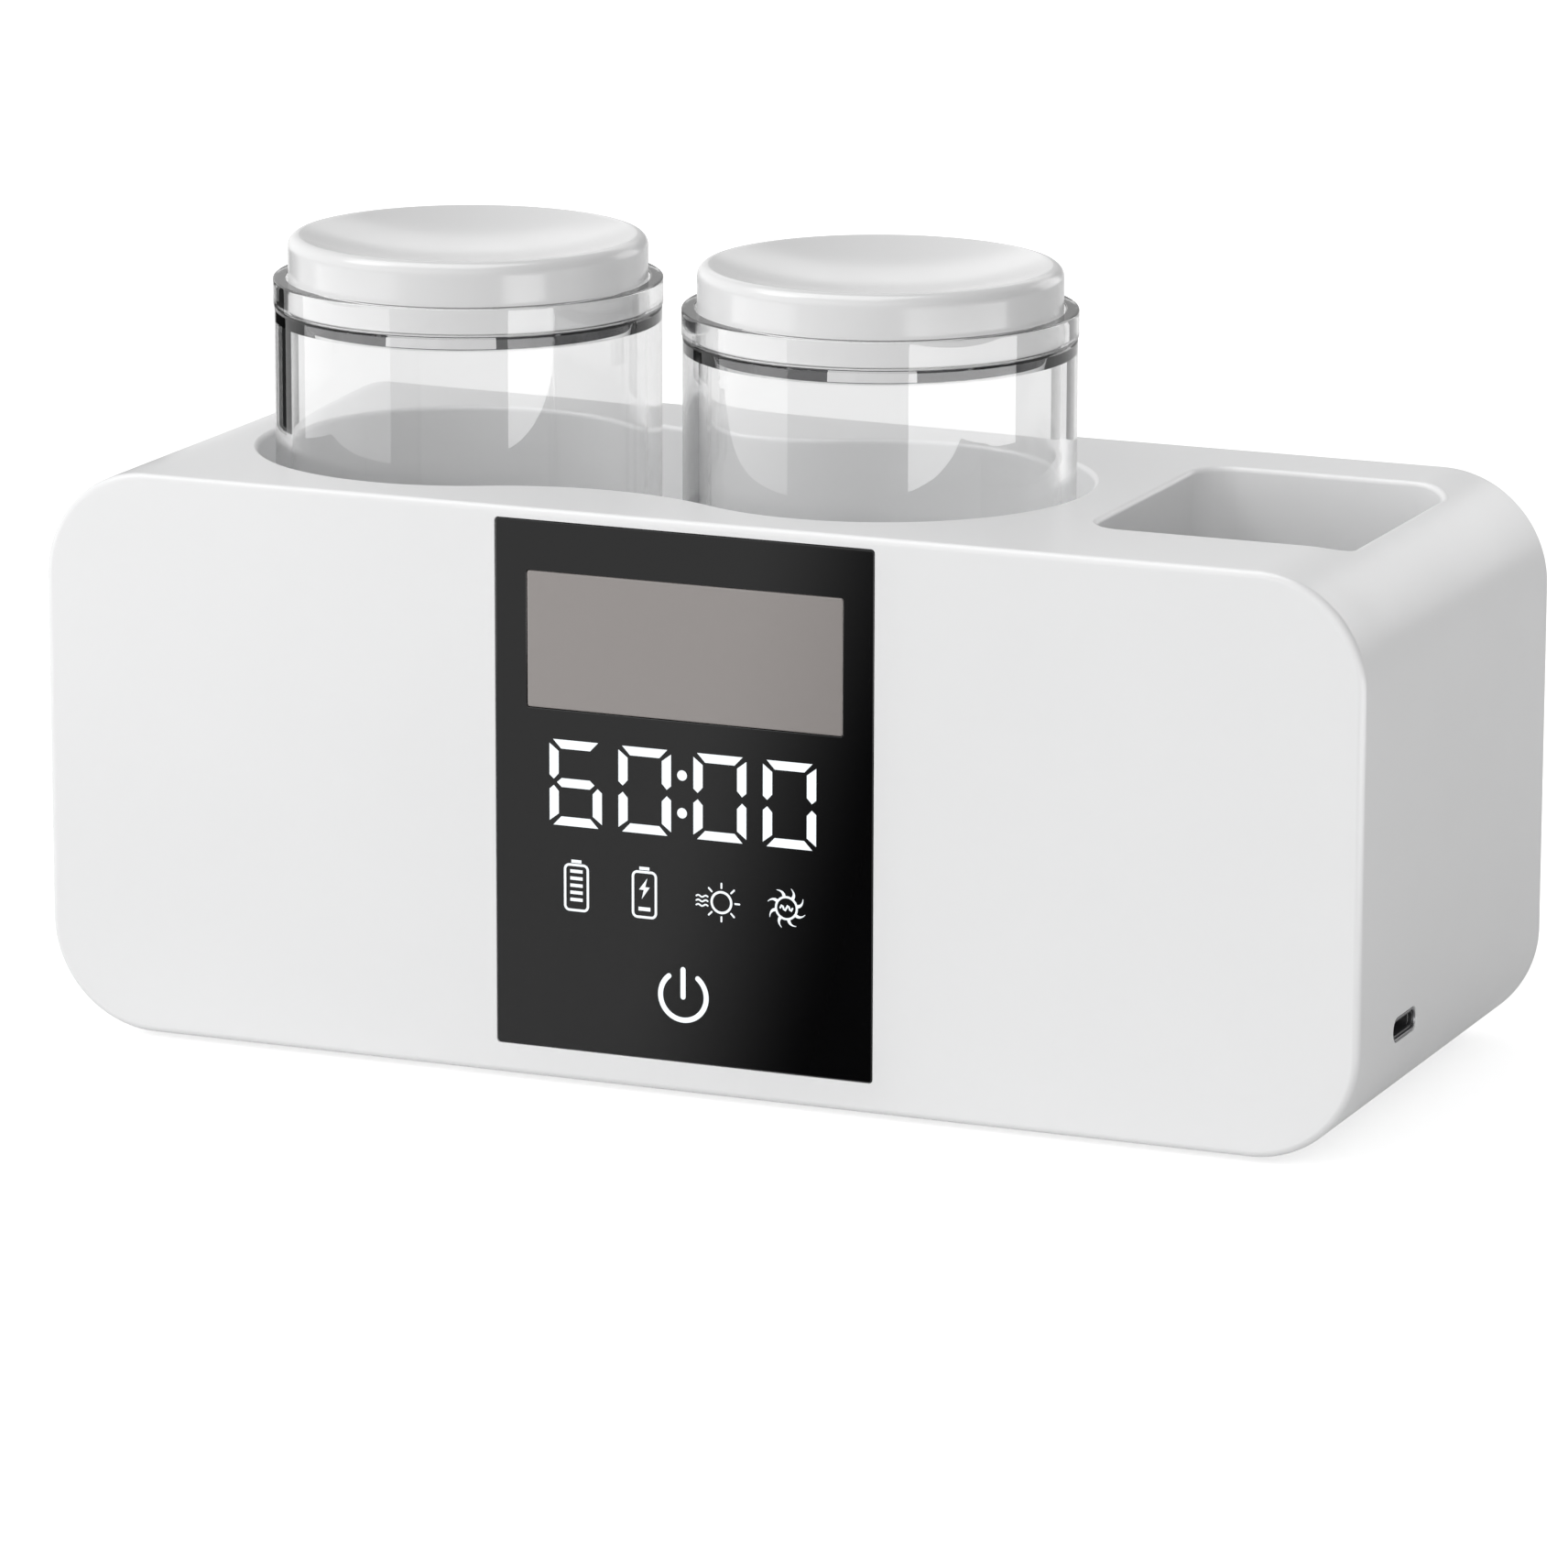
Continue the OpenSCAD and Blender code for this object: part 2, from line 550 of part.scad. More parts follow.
module intake_filter() {
  color("#4d4d50") translate([blower_x, back - 9.5, blower_z]) rotate([-90, 0, 0]) cylinder(r = 16.8, h = 5, $fn = cyl);
}

// ---------------------------------------------------------------- battery

module battery_tray() {
  color("#2f2f32") difference() {
    union() {
      translate([-91.3, -35, floor_z]) cube([60, 70, 8.6]);
      for (p = tray_pts) translate([p[0], p[1], zb + 6.5]) cylinder(r = 3.2, h = 2, $fn = 48);
      for (p = tray_pts) translate([p[0] - 3.2, p[1] > 0 ? 34 : -38, zb + 6.5]) cube([6.4, 4, 2]);
    }
    translate([-89.7, -33.4, floor_z + 1.6]) cube([56.8, 66.8, 20]);
    for (p = tray_pts) translate([p[0], p[1], zb]) cylinder(r = 1.15, h = 20, $fn = 32);
  }
}

module battery_cells() {
  color("#3d6fb0") for (i = [-1 : 1]) translate([-61.3 + 18.4 * i, 32.5, 14.6]) rotate([90, 0, 0]) {
    cylinder(r = 9.1, h = 65, $fn = 96);
  }
}

module battery_sleeve() {
  color("#3a8a4e") translate([-61.3, 32.9, 14.6]) rotate([90, 0, 0]) difference() {
    rblock(55.8, 19, 65.8, 9.4);
    translate([0, 0, 0.2]) rblock(55.2, 18.4, 65.4, 9.1);
    translate([0, 0, -1]) rblock(51, 14, 70, 6.8);
  }
}

module battery_tabs() {
  color("#c9c9c4") for (s = [-1, 1]) translate([-61.3 - 22, s > 0 ? 32.52 : -32.66, 11.6]) cube([44, 0.14, 6]);
}

module battery_board() {
  color("#1f5c3a") {
    translate([-81.3, -7, 24.3]) cube([40, 14, 0.8]);
    for (i = [0 : 3]) translate([-76.3 + i * 9, -4, 25]) cube([5, 5, 1.3]);
  }
}

// ---------------------------------------------------------------- boards

module main_board() {
  color("#1f5c3a") difference() {
    translate([-26, -38, zb + 7]) cube([76, 42, 1.6]);
    for (p = board_pts) translate([p[0], p[1], zb]) cylinder(r = 1.15, h = 20, $fn = 32);
  }
}

module board_components() {
  z = zb + 8.6;
  color("#2b2b2d") {
    translate([6, -24, z]) cube([10, 10, 1.4]);
    translate([22, -30, z]) cube([12, 12, 7]);
    translate([22, -14, z]) cube([12, 12, 7]);
    for (i = [0 : 3]) translate([-18, -28 + i * 7, z]) cube([6.5, 5, 1.8]);
    for (y = [-20, -10]) translate([-4, y, z]) cylinder(r = 4, h = 10, $fn = 64);
    for (i = [0 : 5]) translate([8 + 2.4 * i, -9, z]) cube([1.2, 2, 0.8]);
  }
}

module board_connectors() {
  z = zb + 8.6;
  color("#e9e6da") for (c = [[-24.5, -26, 5, 10], [-24.5, -12, 5, 8], [38, -24, 6, 10], [38, -10, 6, 8], [2, -35.6, 14, 5], [20, -35.6, 8, 5]])
    translate([c[0], c[1], z]) difference() {
      cube([c[2], c[3], 6]);
      translate([0.8, 0.8, 1]) cube([c[2] - 1.6, c[3] - 1.6, 6]);
    }
}

module buzzer() {
  color("#1c1c1e") translate([8, 0, zb + 8.6]) difference() {
    cylinder(r = 3.9, h = 7, $fn = 64);
    translate([0, 0, 5]) cylinder(r = 1, h = 4, $fn = 32);
  }
}

module usb_board() {
  color("#1f5c3a") difference() {
    translate([93, usb_y - 8, usb_z - 2.6]) cube([13, 16, 0.9]);
    for (p = usb_pts) translate([p[0], p[1], usb_z - 4]) cylinder(r = 1.1, h = 6, $fn = 32);
  }
}

module usb_shell() {
  color("#b4b6ba") translate([body_w / 2 - 8.8, usb_y, usb_z]) difference() {
    stadium(8.94, 3.2, 7.4);
    translate([0.6, 0, 0]) stadium(8.34, 2.6, 10);
  }
}

module usb_tongue() {
  color("#1a1a1c") translate([body_w / 2 - 8.1, usb_y, usb_z]) {
    translate([0, -3.4, -1.1]) cube([1.4, 6.8, 2.2]);
    translate([1, -3.35, -0.35]) cube([4.6, 6.7, 0.7]);
  }
}

// ---------------------------------------------------------------- fasteners

module cover_screws() {
  color("#a8aaad") for (p = cover_pts) translate([p[0], back - 2, p[1]]) rotate([-90, 0, 0]) screw(1.25, 8, 2.4, 1.2);
}

module tub_screws() {
  color("#a8aaad") for (p = tub_pts) translate([p[0], p[1], tub_top - 2.2]) rotate([180, 0, 0]) screw(1.25, 9, 2.4, 1.5);
}

module carrier_screws() {
  color("#a8aaad") for (x = [left_x, right_x], s = [-1, 1]) translate([x, well_y + s * 31.2, well_z - 7.8]) rotate([180, 0, 0]) screw(0.9, 6.4, 1.9, 1.2);
}

module board_screws() {
  color("#a8aaad") {
    for (p = board_pts) translate([p[0], p[1], zb + 8.6]) screw(0.9, 5, 1.9, 1.2);
    for (p = usb_pts) translate([p[0], p[1], usb_z - 1.7]) screw(0.9, 5, 1.8, 1.1);
    for (p = tray_pts) translate([p[0], p[1], zb + 8.5]) screw(0.9, 6, 1.9, 1.2);
  }
}

module blower_screws() {
  color("#a8aaad") for (p = blower_pts) translate([blower_x + p[0], blower_y, blower_z - p[1]]) rotate([90, 0, 0]) screw(1.15, 24, 2.2, 1.4);
}

// ---------------------------------------------------------------- jars and lids

jar_z = well_z + 0.1;            // underside of a jar
rim_z = zt + jar_above;          // top of a jar
plug_z = rim_z - 4.3;            // underside of a lid's skirt
seal_z = rim_z - 7;              // ledge inside the jar's mouth
mouth_r = jar_rim_r - 2.1;
jar_r = jar_rim_r - jar_step;
bore_r = jar_r - jar_wall;
lid_r = mouth_r - 0.3;
lid_z = rim_z + lid_above;

module jar() {
  color([0.92, 0.95, 0.97, 0.35]) rotate_extrude($fn = cyl) polygon(concat(
    [[0, jar_z + 1.2], [16, jar_z + 1.2], [18, jar_z]],
    arc(jar_r - 3, jar_z + 3, 3, -90, 0, 6),
    [[jar_r, rim_z - 5.2], [jar_rim_r - 0.1, rim_z - 5.0], [jar_rim_r - 0.1, rim_z - 4.6], [jar_rim_r - 0.45, rim_z - 4.4], [jar_rim_r - 0.45, rim_z - 4.1], [jar_rim_r, rim_z - 3.9]],
    arc(jar_rim_r - 0.5, rim_z - 0.5, 0.5, 0, 90, 3),
    [[mouth_r + 0.3, rim_z], [mouth_r, rim_z - 0.3], [mouth_r, plug_z], [bore_r, seal_z]],
    arc(bore_r - 5, jar_z + 8.4, 5, 0, -90, 8),
    [[0, jar_z + 3.4]]));
}

// Upper part of a lid: dished top, rounded edge and skirt
module lid_cap() {
  e = 1.9;
  n = 16;
  rd = lid_r - e;
  color("#eeeeef") rotate_extrude($fn = cyl) polygon(concat(
    [[lid_r - 2.2, plug_z], [lid_r, plug_z], [lid_r, lid_z - e]],
    arc(lid_r - e, lid_z - e, e, 15, 90, 6),
    [for (i = [1 : n]) [rd * (1 - i / n), lid_z - lid_dish * (1 - pow(1 - i / n, 2.2))]],
    [[0, lid_z - lid_dish - 2], [rd * 0.6, lid_z - lid_dish - 1.6], [lid_r - 2.2, lid_z - lid_dish - 0.4]]));
}

// Lower part of a lid: closes the plug and carries the seal
module lid_base() {
  color("#e6e6e7") rotate_extrude($fn = cyl) polygon([
    [0, plug_z - 1.2], [lid_r - 2.6, plug_z - 1.2], [lid_r - 2.6, seal_z + 0.3], [lid_r - 1.4, seal_z + 0.3], [lid_r - 1.4, plug_z - 0.05],
    [lid_r - 2.3, plug_z - 0.05], [lid_r - 2.3, plug_z + 1.6], [lid_r - 3.6, plug_z + 1.6], [lid_r - 3.6, plug_z], [0, plug_z]]);
}

module lid_seal() {
  color([0.85, 0.88, 0.9, 0.6]) rotate_extrude($fn = cyl) polygon([[lid_r - 1.35, plug_z - 0.1], [lid_r - 1.35, seal_z + 0.8], [bore_r - 0.05, seal_z + 0.8], [mouth_r - 0.18, plug_z - 0.4], [mouth_r - 0.18, plug_z - 0.1]]);
}

module at_left() { translate([left_x, well_y, 0]) children(); }
module at_right() { translate([right_x, well_y, 0]) children(); }
module left_jar() { at_left() jar(); }
module left_lid_cap() { at_left() lid_cap(); }
module left_lid_base() { at_left() lid_base(); }
module left_lid_seal() { at_left() lid_seal(); }
module right_jar() { at_right() jar(); }
module right_lid_cap() { at_right() lid_cap(); }
module right_lid_base() { at_right() lid_base(); }
module right_lid_seal() { at_right() lid_seal(); }

// ---------------------------------------------------------------- nodes

housing();
rear_cover();
rubber_feet();
well_tub();
well_gasket();
pocket_cup();
panel_glass();
status_window();
status_lcd();
digit_display();
icon_light_guide();
touch_electrode();
display_board();
heater_plates();
film_heaters();
insulation_pads();
heater_carriers();
thermistors();
uv_windows();
uv_lamp_boards();
air_duct();
ptc_heater();
blower_case();
blower_lid();
impeller();
rotor_magnet();
fan_shaft();
fan_bearing();
motor_stator();
intake_shroud();
intake_filter();
battery_tray();
battery_cells();
battery_sleeve();
battery_tabs();
battery_board();
main_board();
board_components();
board_connectors();
buzzer();
usb_board();
usb_shell();
usb_tongue();
cover_screws();
tub_screws();
carrier_screws();
board_screws();
blower_screws();
left_jar();
left_lid_cap();
left_lid_base();
left_lid_seal();
right_jar();
right_lid_cap();
right_lid_base();
right_lid_seal();
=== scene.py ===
import math

import bmesh
import bpy
import numpy as np
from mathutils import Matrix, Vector


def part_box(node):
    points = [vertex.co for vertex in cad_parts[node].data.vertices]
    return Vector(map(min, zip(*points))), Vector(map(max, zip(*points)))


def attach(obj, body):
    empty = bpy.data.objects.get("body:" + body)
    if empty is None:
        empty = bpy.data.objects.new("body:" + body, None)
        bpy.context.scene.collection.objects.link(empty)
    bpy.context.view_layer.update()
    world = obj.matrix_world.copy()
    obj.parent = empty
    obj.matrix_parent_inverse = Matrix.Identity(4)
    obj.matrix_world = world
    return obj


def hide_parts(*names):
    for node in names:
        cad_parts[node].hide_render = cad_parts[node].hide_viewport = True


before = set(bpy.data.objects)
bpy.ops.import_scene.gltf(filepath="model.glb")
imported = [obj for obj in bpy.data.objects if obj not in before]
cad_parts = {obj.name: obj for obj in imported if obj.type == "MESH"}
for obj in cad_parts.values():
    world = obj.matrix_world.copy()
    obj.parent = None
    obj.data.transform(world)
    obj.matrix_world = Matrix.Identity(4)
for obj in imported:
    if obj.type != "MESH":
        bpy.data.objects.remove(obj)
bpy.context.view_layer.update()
scene = bpy.context.scene
M = 0.001  # shapes are worked out in millimetres and stored in metres

# ------------------------------------------------------------------ sizes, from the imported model


def mm(node):
    lo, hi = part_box(node)
    return np.array(lo) * 1000, np.array(hi) * 1000


H0, H1 = mm("housing")
X0, FRONT, ZB = H0
X1, BACK, ZT = H1
W, D, H = X1 - X0, BACK - FRONT, ZT - ZB
ZC = (ZB + ZT) / 2
R_CORNER, R_EDGE, WALL = 17.5, 1.2, 2.4

TUB0, TUB1 = mm("well_tub")
JL0, JL1 = mm("left_jar")
JR0, JR1 = mm("right_jar")
LEFT_X, RIGHT_X = (JL0[0] + JL1[0]) / 2, (JR0[0] + JR1[0]) / 2
WELL_Y = (JL0[1] + JL1[1]) / 2
JAR_Z, RIM_Z = JL0[2], JL1[2]
RIM_R = (JL1[0] - JL0[0]) / 2
MID_X, HALF_X = (LEFT_X + RIGHT_X) / 2, (RIGHT_X - LEFT_X) / 2
WELL_R, WAIST, FLARE = 33.6, 24.8, 0.9
COLLAR_Z = ZT - 17.5
TUB_TOP = TUB1[2]
TUB_T = 1.8
WELL_Z = ZT - 54
P0, P1 = mm("pocket_cup")
POCKET_X, POCKET_Y = (P0[0] + P1[0]) / 2, (P0[1] + P1[1]) / 2
POCKET_W, POCKET_L, POCKET_R = 41.0, 52.4, 6.0
POCKET_Z, POCKET_COLLAR = P0[2] + 1.8, ZT - 15.5
G0, G1 = mm("panel_glass")
S0, S1 = mm("status_window")
LID0, LID1 = mm("left_lid_cap")
LID_R, LID_Z, PLUG_Z = (LID1[0] - LID0[0]) / 2, LID1[2], LID0[2]
JAR_R, BORE_R, MOUTH_R, SEAL_Z = RIM_R - 0.35, RIM_R - 2.75, LID_R + 0.3, RIM_Z - 7.0
USB_Y, USB_Z = (mm("usb_shell")[0][1] + mm("usb_shell")[1][1]) / 2, (mm("usb_shell")[0][2] + mm("usb_shell")[1][2]) / 2

# ------------------------------------------------------------------ mesh helpers


def new_object(name, verts, faces):
    me = bpy.data.meshes.new(name)
    me.from_pydata([tuple(map(float, v)) for v in verts], [], [tuple(map(int, f)) for f in faces])
    me.update()
    ob = bpy.data.objects.new(name, me)
    scene.collection.objects.link(ob)
    return ob


def outward(ob):
    bm = bmesh.new()
    bm.from_mesh(ob.data)
    bmesh.ops.recalc_face_normals(bm, faces=bm.faces)
    bm.to_mesh(ob.data)
    bm.free()
    return ob


def loft(name, rings, closed=False):
    """Closed skin over rings of equal length. closed joins the last ring to the first instead of capping."""
    n, k = len(rings[0]), len(rings)
    verts = np.concatenate([np.asarray(r, float) for r in rings])
    faces = []
    for i in range(k if closed else k - 1):
        a, b = i * n, ((i + 1) % k) * n
        for j in range(n):
            j2 = (j + 1) % n
            faces.append((a + j, a + j2, b + j2, b + j))
    if not closed:
        faces.append(tuple(range(n - 1, -1, -1)))
        faces.append(tuple(range((k - 1) * n, k * n)))
    return outward(new_object(name, verts, faces))


def revolve(name, profile, cx=0.0, cy=0.0, n=192, axis="z"):
    """Solid of revolution of a closed profile of (radius, height). Radius 0 makes a pole."""
    t = np.linspace(0, 2 * math.pi, n, endpoint=False)
    verts, index, faces = [], [], []
    for r, z in profile:
        if r < 1e-9:
            index.append([len(verts)] * n)
            verts.append((cx, cy, z))
        else:
            index.append(list(range(len(verts), len(verts) + n)))
            verts.extend((cx + r * math.cos(a), cy + r * math.sin(a), z) for a in t)
    k = len(profile)
    for i in range(k):
        a, b = index[i], index[(i + 1) % k]
        for j in range(n):
            j2 = (j + 1) % n
            f = [a[j], a[j2], b[j2], b[j]]
            f = [v for p, v in enumerate(f) if v not in f[:p]]
            if len(f) > 2:
                faces.append(f)
    return outward(new_object(name, verts, faces))


def arc(cx, cy, r, a0, a1, n):
    return [(cx + r * math.cos(math.radians(a0 + (a1 - a0) * i / n)), cy + r * math.sin(math.radians(a0 + (a1 - a0) * i / n))) for i in range(n + 1)]


def soften(points, rules):
    """Rounds corners of a profile. rules maps a point's place in the list to a radius."""
    out, k = [], len(points)
    for i, p in enumerate(points):
        r = rules.get(i)
        if not r:
            out.append(tuple(p))
            continue
        p = np.array(p, float)
        a, b = np.array(points[i - 1], float) - p, np.array(points[(i + 1) % k], float) - p
        la, lb = np.linalg.norm(a), np.linalg.norm(b)
        a, b = a / la, b / lb
        half = math.acos(max(-1, min(1, a @ b))) / 2
        t = min(r / math.tan(half), 0.48 * la, 0.48 * lb)
        rr = t * math.tan(half)
        c = p + (a + b) / np.linalg.norm(a + b) * rr / math.sin(half)
        s, e = p + a * t - c, p + b * t - c
        steps = 6
        a0, a1 = math.atan2(s[1], s[0]), math.atan2(e[1], e[0])
        d = (a1 - a0 + math.pi) % (2 * math.pi) - math.pi
        for j in range(steps + 1):
            q = a0 + d * j / steps
            out.append((c[0] + rr * math.cos(q), c[1] + rr * math.sin(q)))
    return out


def rr_outline(w, h, r, n=24, cx=0.0, cy=0.0):
    """Rounded rectangle, anticlockwise: points and outward normals."""
    pts, nor = [], []
    for sx, sy, a0 in ((1, 1, 0), (-1, 1, 90), (-1, -1, 180), (1, -1, 270)):
        for i in range(n + 1):
            a = math.radians(a0 + 90 * i / n)
            v = (math.cos(a), math.sin(a))
            pts.append((cx + sx * (w / 2 - r) + r * v[0], cy + sy * (h / 2 - r) + r * v[1]))
            nor.append(v)
    return np.array(pts), np.array(nor)


RHO = (HALF_X**2 + WAIST**2 - WELL_R**2) / (2 * (WELL_R - WAIST))
YB = WAIST + RHO
BETA = math.degrees(math.atan2(YB, HALF_X))


def eight_outline(na=96, nb=48):
    """The figure-8 of the well, anticlockwise: points and outward normals."""
    pts, nor = [], []

    def put(cx, cy, r, a0, a1, n, sign):
        for i in range(n):
            a = math.radians(a0 + (a1 - a0) * i / n)
            v = np.array((math.cos(a), math.sin(a)))
            pts.append((cx + r * v[0], cy + r * v[1]))
            nor.append(sign * v)

    put(LEFT_X, WELL_Y, WELL_R, BETA, 360 - BETA, na, 1)
    put(MID_X, WELL_Y - YB, RHO, 180 - BETA, BETA, nb, -1)
    put(RIGHT_X, WELL_Y, WELL_R, 180 + BETA, 540 - BETA, na, 1)
    put(MID_X, WELL_Y + YB, RHO, -BETA, -180 + BETA, nb, -1)
    return np.array(pts), np.array(nor)


def ring(pts, nor, grow, z):
    p = pts + nor * grow
    return np.column_stack([p, np.full(len(p), z)])


def along_y(r):
    """Turns a ring drawn in (x, z, depth) into one at (x, y, z)."""
    return np.column_stack([r[:, 0], r[:, 2], r[:, 1]])


def along_x(r):
    return np.column_stack([r[:, 2], r[:, 0], r[:, 1]])


def cylinder(name, x, y, z0, z1, r, n=48):
    t = np.linspace(0, 2 * math.pi, n, endpoint=False)
    c = np.column_stack([x + r * np.cos(t), y + r * np.sin(t)])
    return loft(name, [np.column_stack([c, np.full(n, z0)]), np.column_stack([c, np.full(n, z1)])])


def cylinder_y(name, x, z, y0, y1, r, n=48):
    t = np.linspace(0, 2 * math.pi, n, endpoint=False)
    c = np.column_stack([x + r * np.cos(t), z + r * np.sin(t)])
    return loft(name, [along_y(np.column_stack([c, np.full(n, y)])) for y in (y0, y1)])


def block(name, lo, hi):
    x0, y0, z0 = lo
    x1, y1, z1 = hi
    v = [(x0, y0, z0), (x1, y0, z0), (x1, y1, z0), (x0, y1, z0), (x0, y0, z1), (x1, y0, z1), (x1, y1, z1), (x0, y1, z1)]
    f = [(0, 3, 2, 1), (4, 5, 6, 7), (0, 1, 5, 4), (1, 2, 6, 5), (2, 3, 7, 6), (3, 0, 4, 7)]
    return new_object(name, v, f)


def join(name, obs):
    """One mesh of several objects' solids."""
    verts, faces = [], []
    for o in obs:
        k = len(verts)
        verts.extend(tuple(v.co) for v in o.data.vertices)
        faces.extend(tuple(i + k for i in p.vertices) for p in o.data.polygons)
        drop(o)
    return new_object(name, verts, faces)


def drop(o):
    me = o.data
    bpy.data.objects.remove(o)
    if me.users == 0:
        bpy.data.meshes.remove(me)


def boolean(a, b, op, own=False):
    """a op b with the exact solver. b is used up. own also resolves solids that overlap within one mesh."""
    m = a.modifiers.new("cut", "BOOLEAN")
    m.operation, m.solver, m.object, m.use_self = op, "EXACT", b, own
    bpy.context.view_layer.update()
    made = bpy.data.meshes.new_from_object(a.evaluated_get(bpy.context.evaluated_depsgraph_get()))
    a.modifiers.clear()
    old, a.data = a.data, made
    bpy.data.meshes.remove(old)
    drop(b)
    return a


def tidy(ob, dist=1e-4):
    bm = bmesh.new()
    bm.from_mesh(ob.data)
    bmesh.ops.remove_doubles(bm, verts=bm.verts, dist=dist)
    bmesh.ops.dissolve_degenerate(bm, edges=bm.edges, dist=dist)
    bmesh.ops.recalc_face_normals(bm, faces=bm.faces)
    bm.to_mesh(ob.data)
    bm.free()
    return ob


def finish_mesh(ob, angle=30, normals=None, weighted=True):
    """To metres, smooth with sharp edges where faces meet at more than angle, then better normals.
    normals(points, face points) gives a normal for each corner, or NaN to leave it."""
    me = ob.data
    me.transform(Matrix_scale)
    bm = bmesh.new()
    bm.from_mesh(me)
    lim = math.radians(angle)
    for f in bm.faces:
        f.smooth = True
    for e in bm.edges:
        e.smooth = len(e.link_faces) == 2 and e.calc_face_angle(0) < lim
    bm.to_mesh(me)
    bm.free()
    if weighted:
        m = ob.modifiers.new("flat", "WEIGHTED_NORMAL")
        m.mode, m.weight, m.keep_sharp = "FACE_AREA", 100, True
        bpy.context.view_layer.update()
        made = bpy.data.meshes.new_from_object(ob.evaluated_get(bpy.context.evaluated_depsgraph_get()))
        ob.modifiers.clear()
        old, ob.data = ob.data, made
        made.name = ob.name
        bpy.data.meshes.remove(old)
        me = made
    if normals is not None:
        n_loop = len(me.loops)
        cur = np.zeros(n_loop * 3)
        me.corner_normals.foreach_get("vector", cur)
        cur = cur.reshape(-1, 3)
        co = np.zeros(len(me.vertices) * 3)
        me.vertices.foreach_get("co", co)
        co = co.reshape(-1, 3) * 1000
        vi = np.zeros(n_loop, int)
        me.loops.foreach_get("vertex_index", vi)
        start = np.array([p.loop_start for p in me.polygons])
        face = np.repeat(np.arange(len(me.polygons)), np.diff(np.append(start, n_loop)))
        found = normals(co, vi, face, len(me.polygons))
        ok = ~np.isnan(found[:, 0]) & (np.einsum("ij,ij->i", found, cur) > 0.3)
        cur[ok] = found[ok]
        me.normals_split_custom_set([tuple(v) for v in cur])
    return ob


from mathutils import Matrix  # noqa: E402

Matrix_scale = Matrix.Scale(M, 4)

# ------------------------------------------------------------------ materials


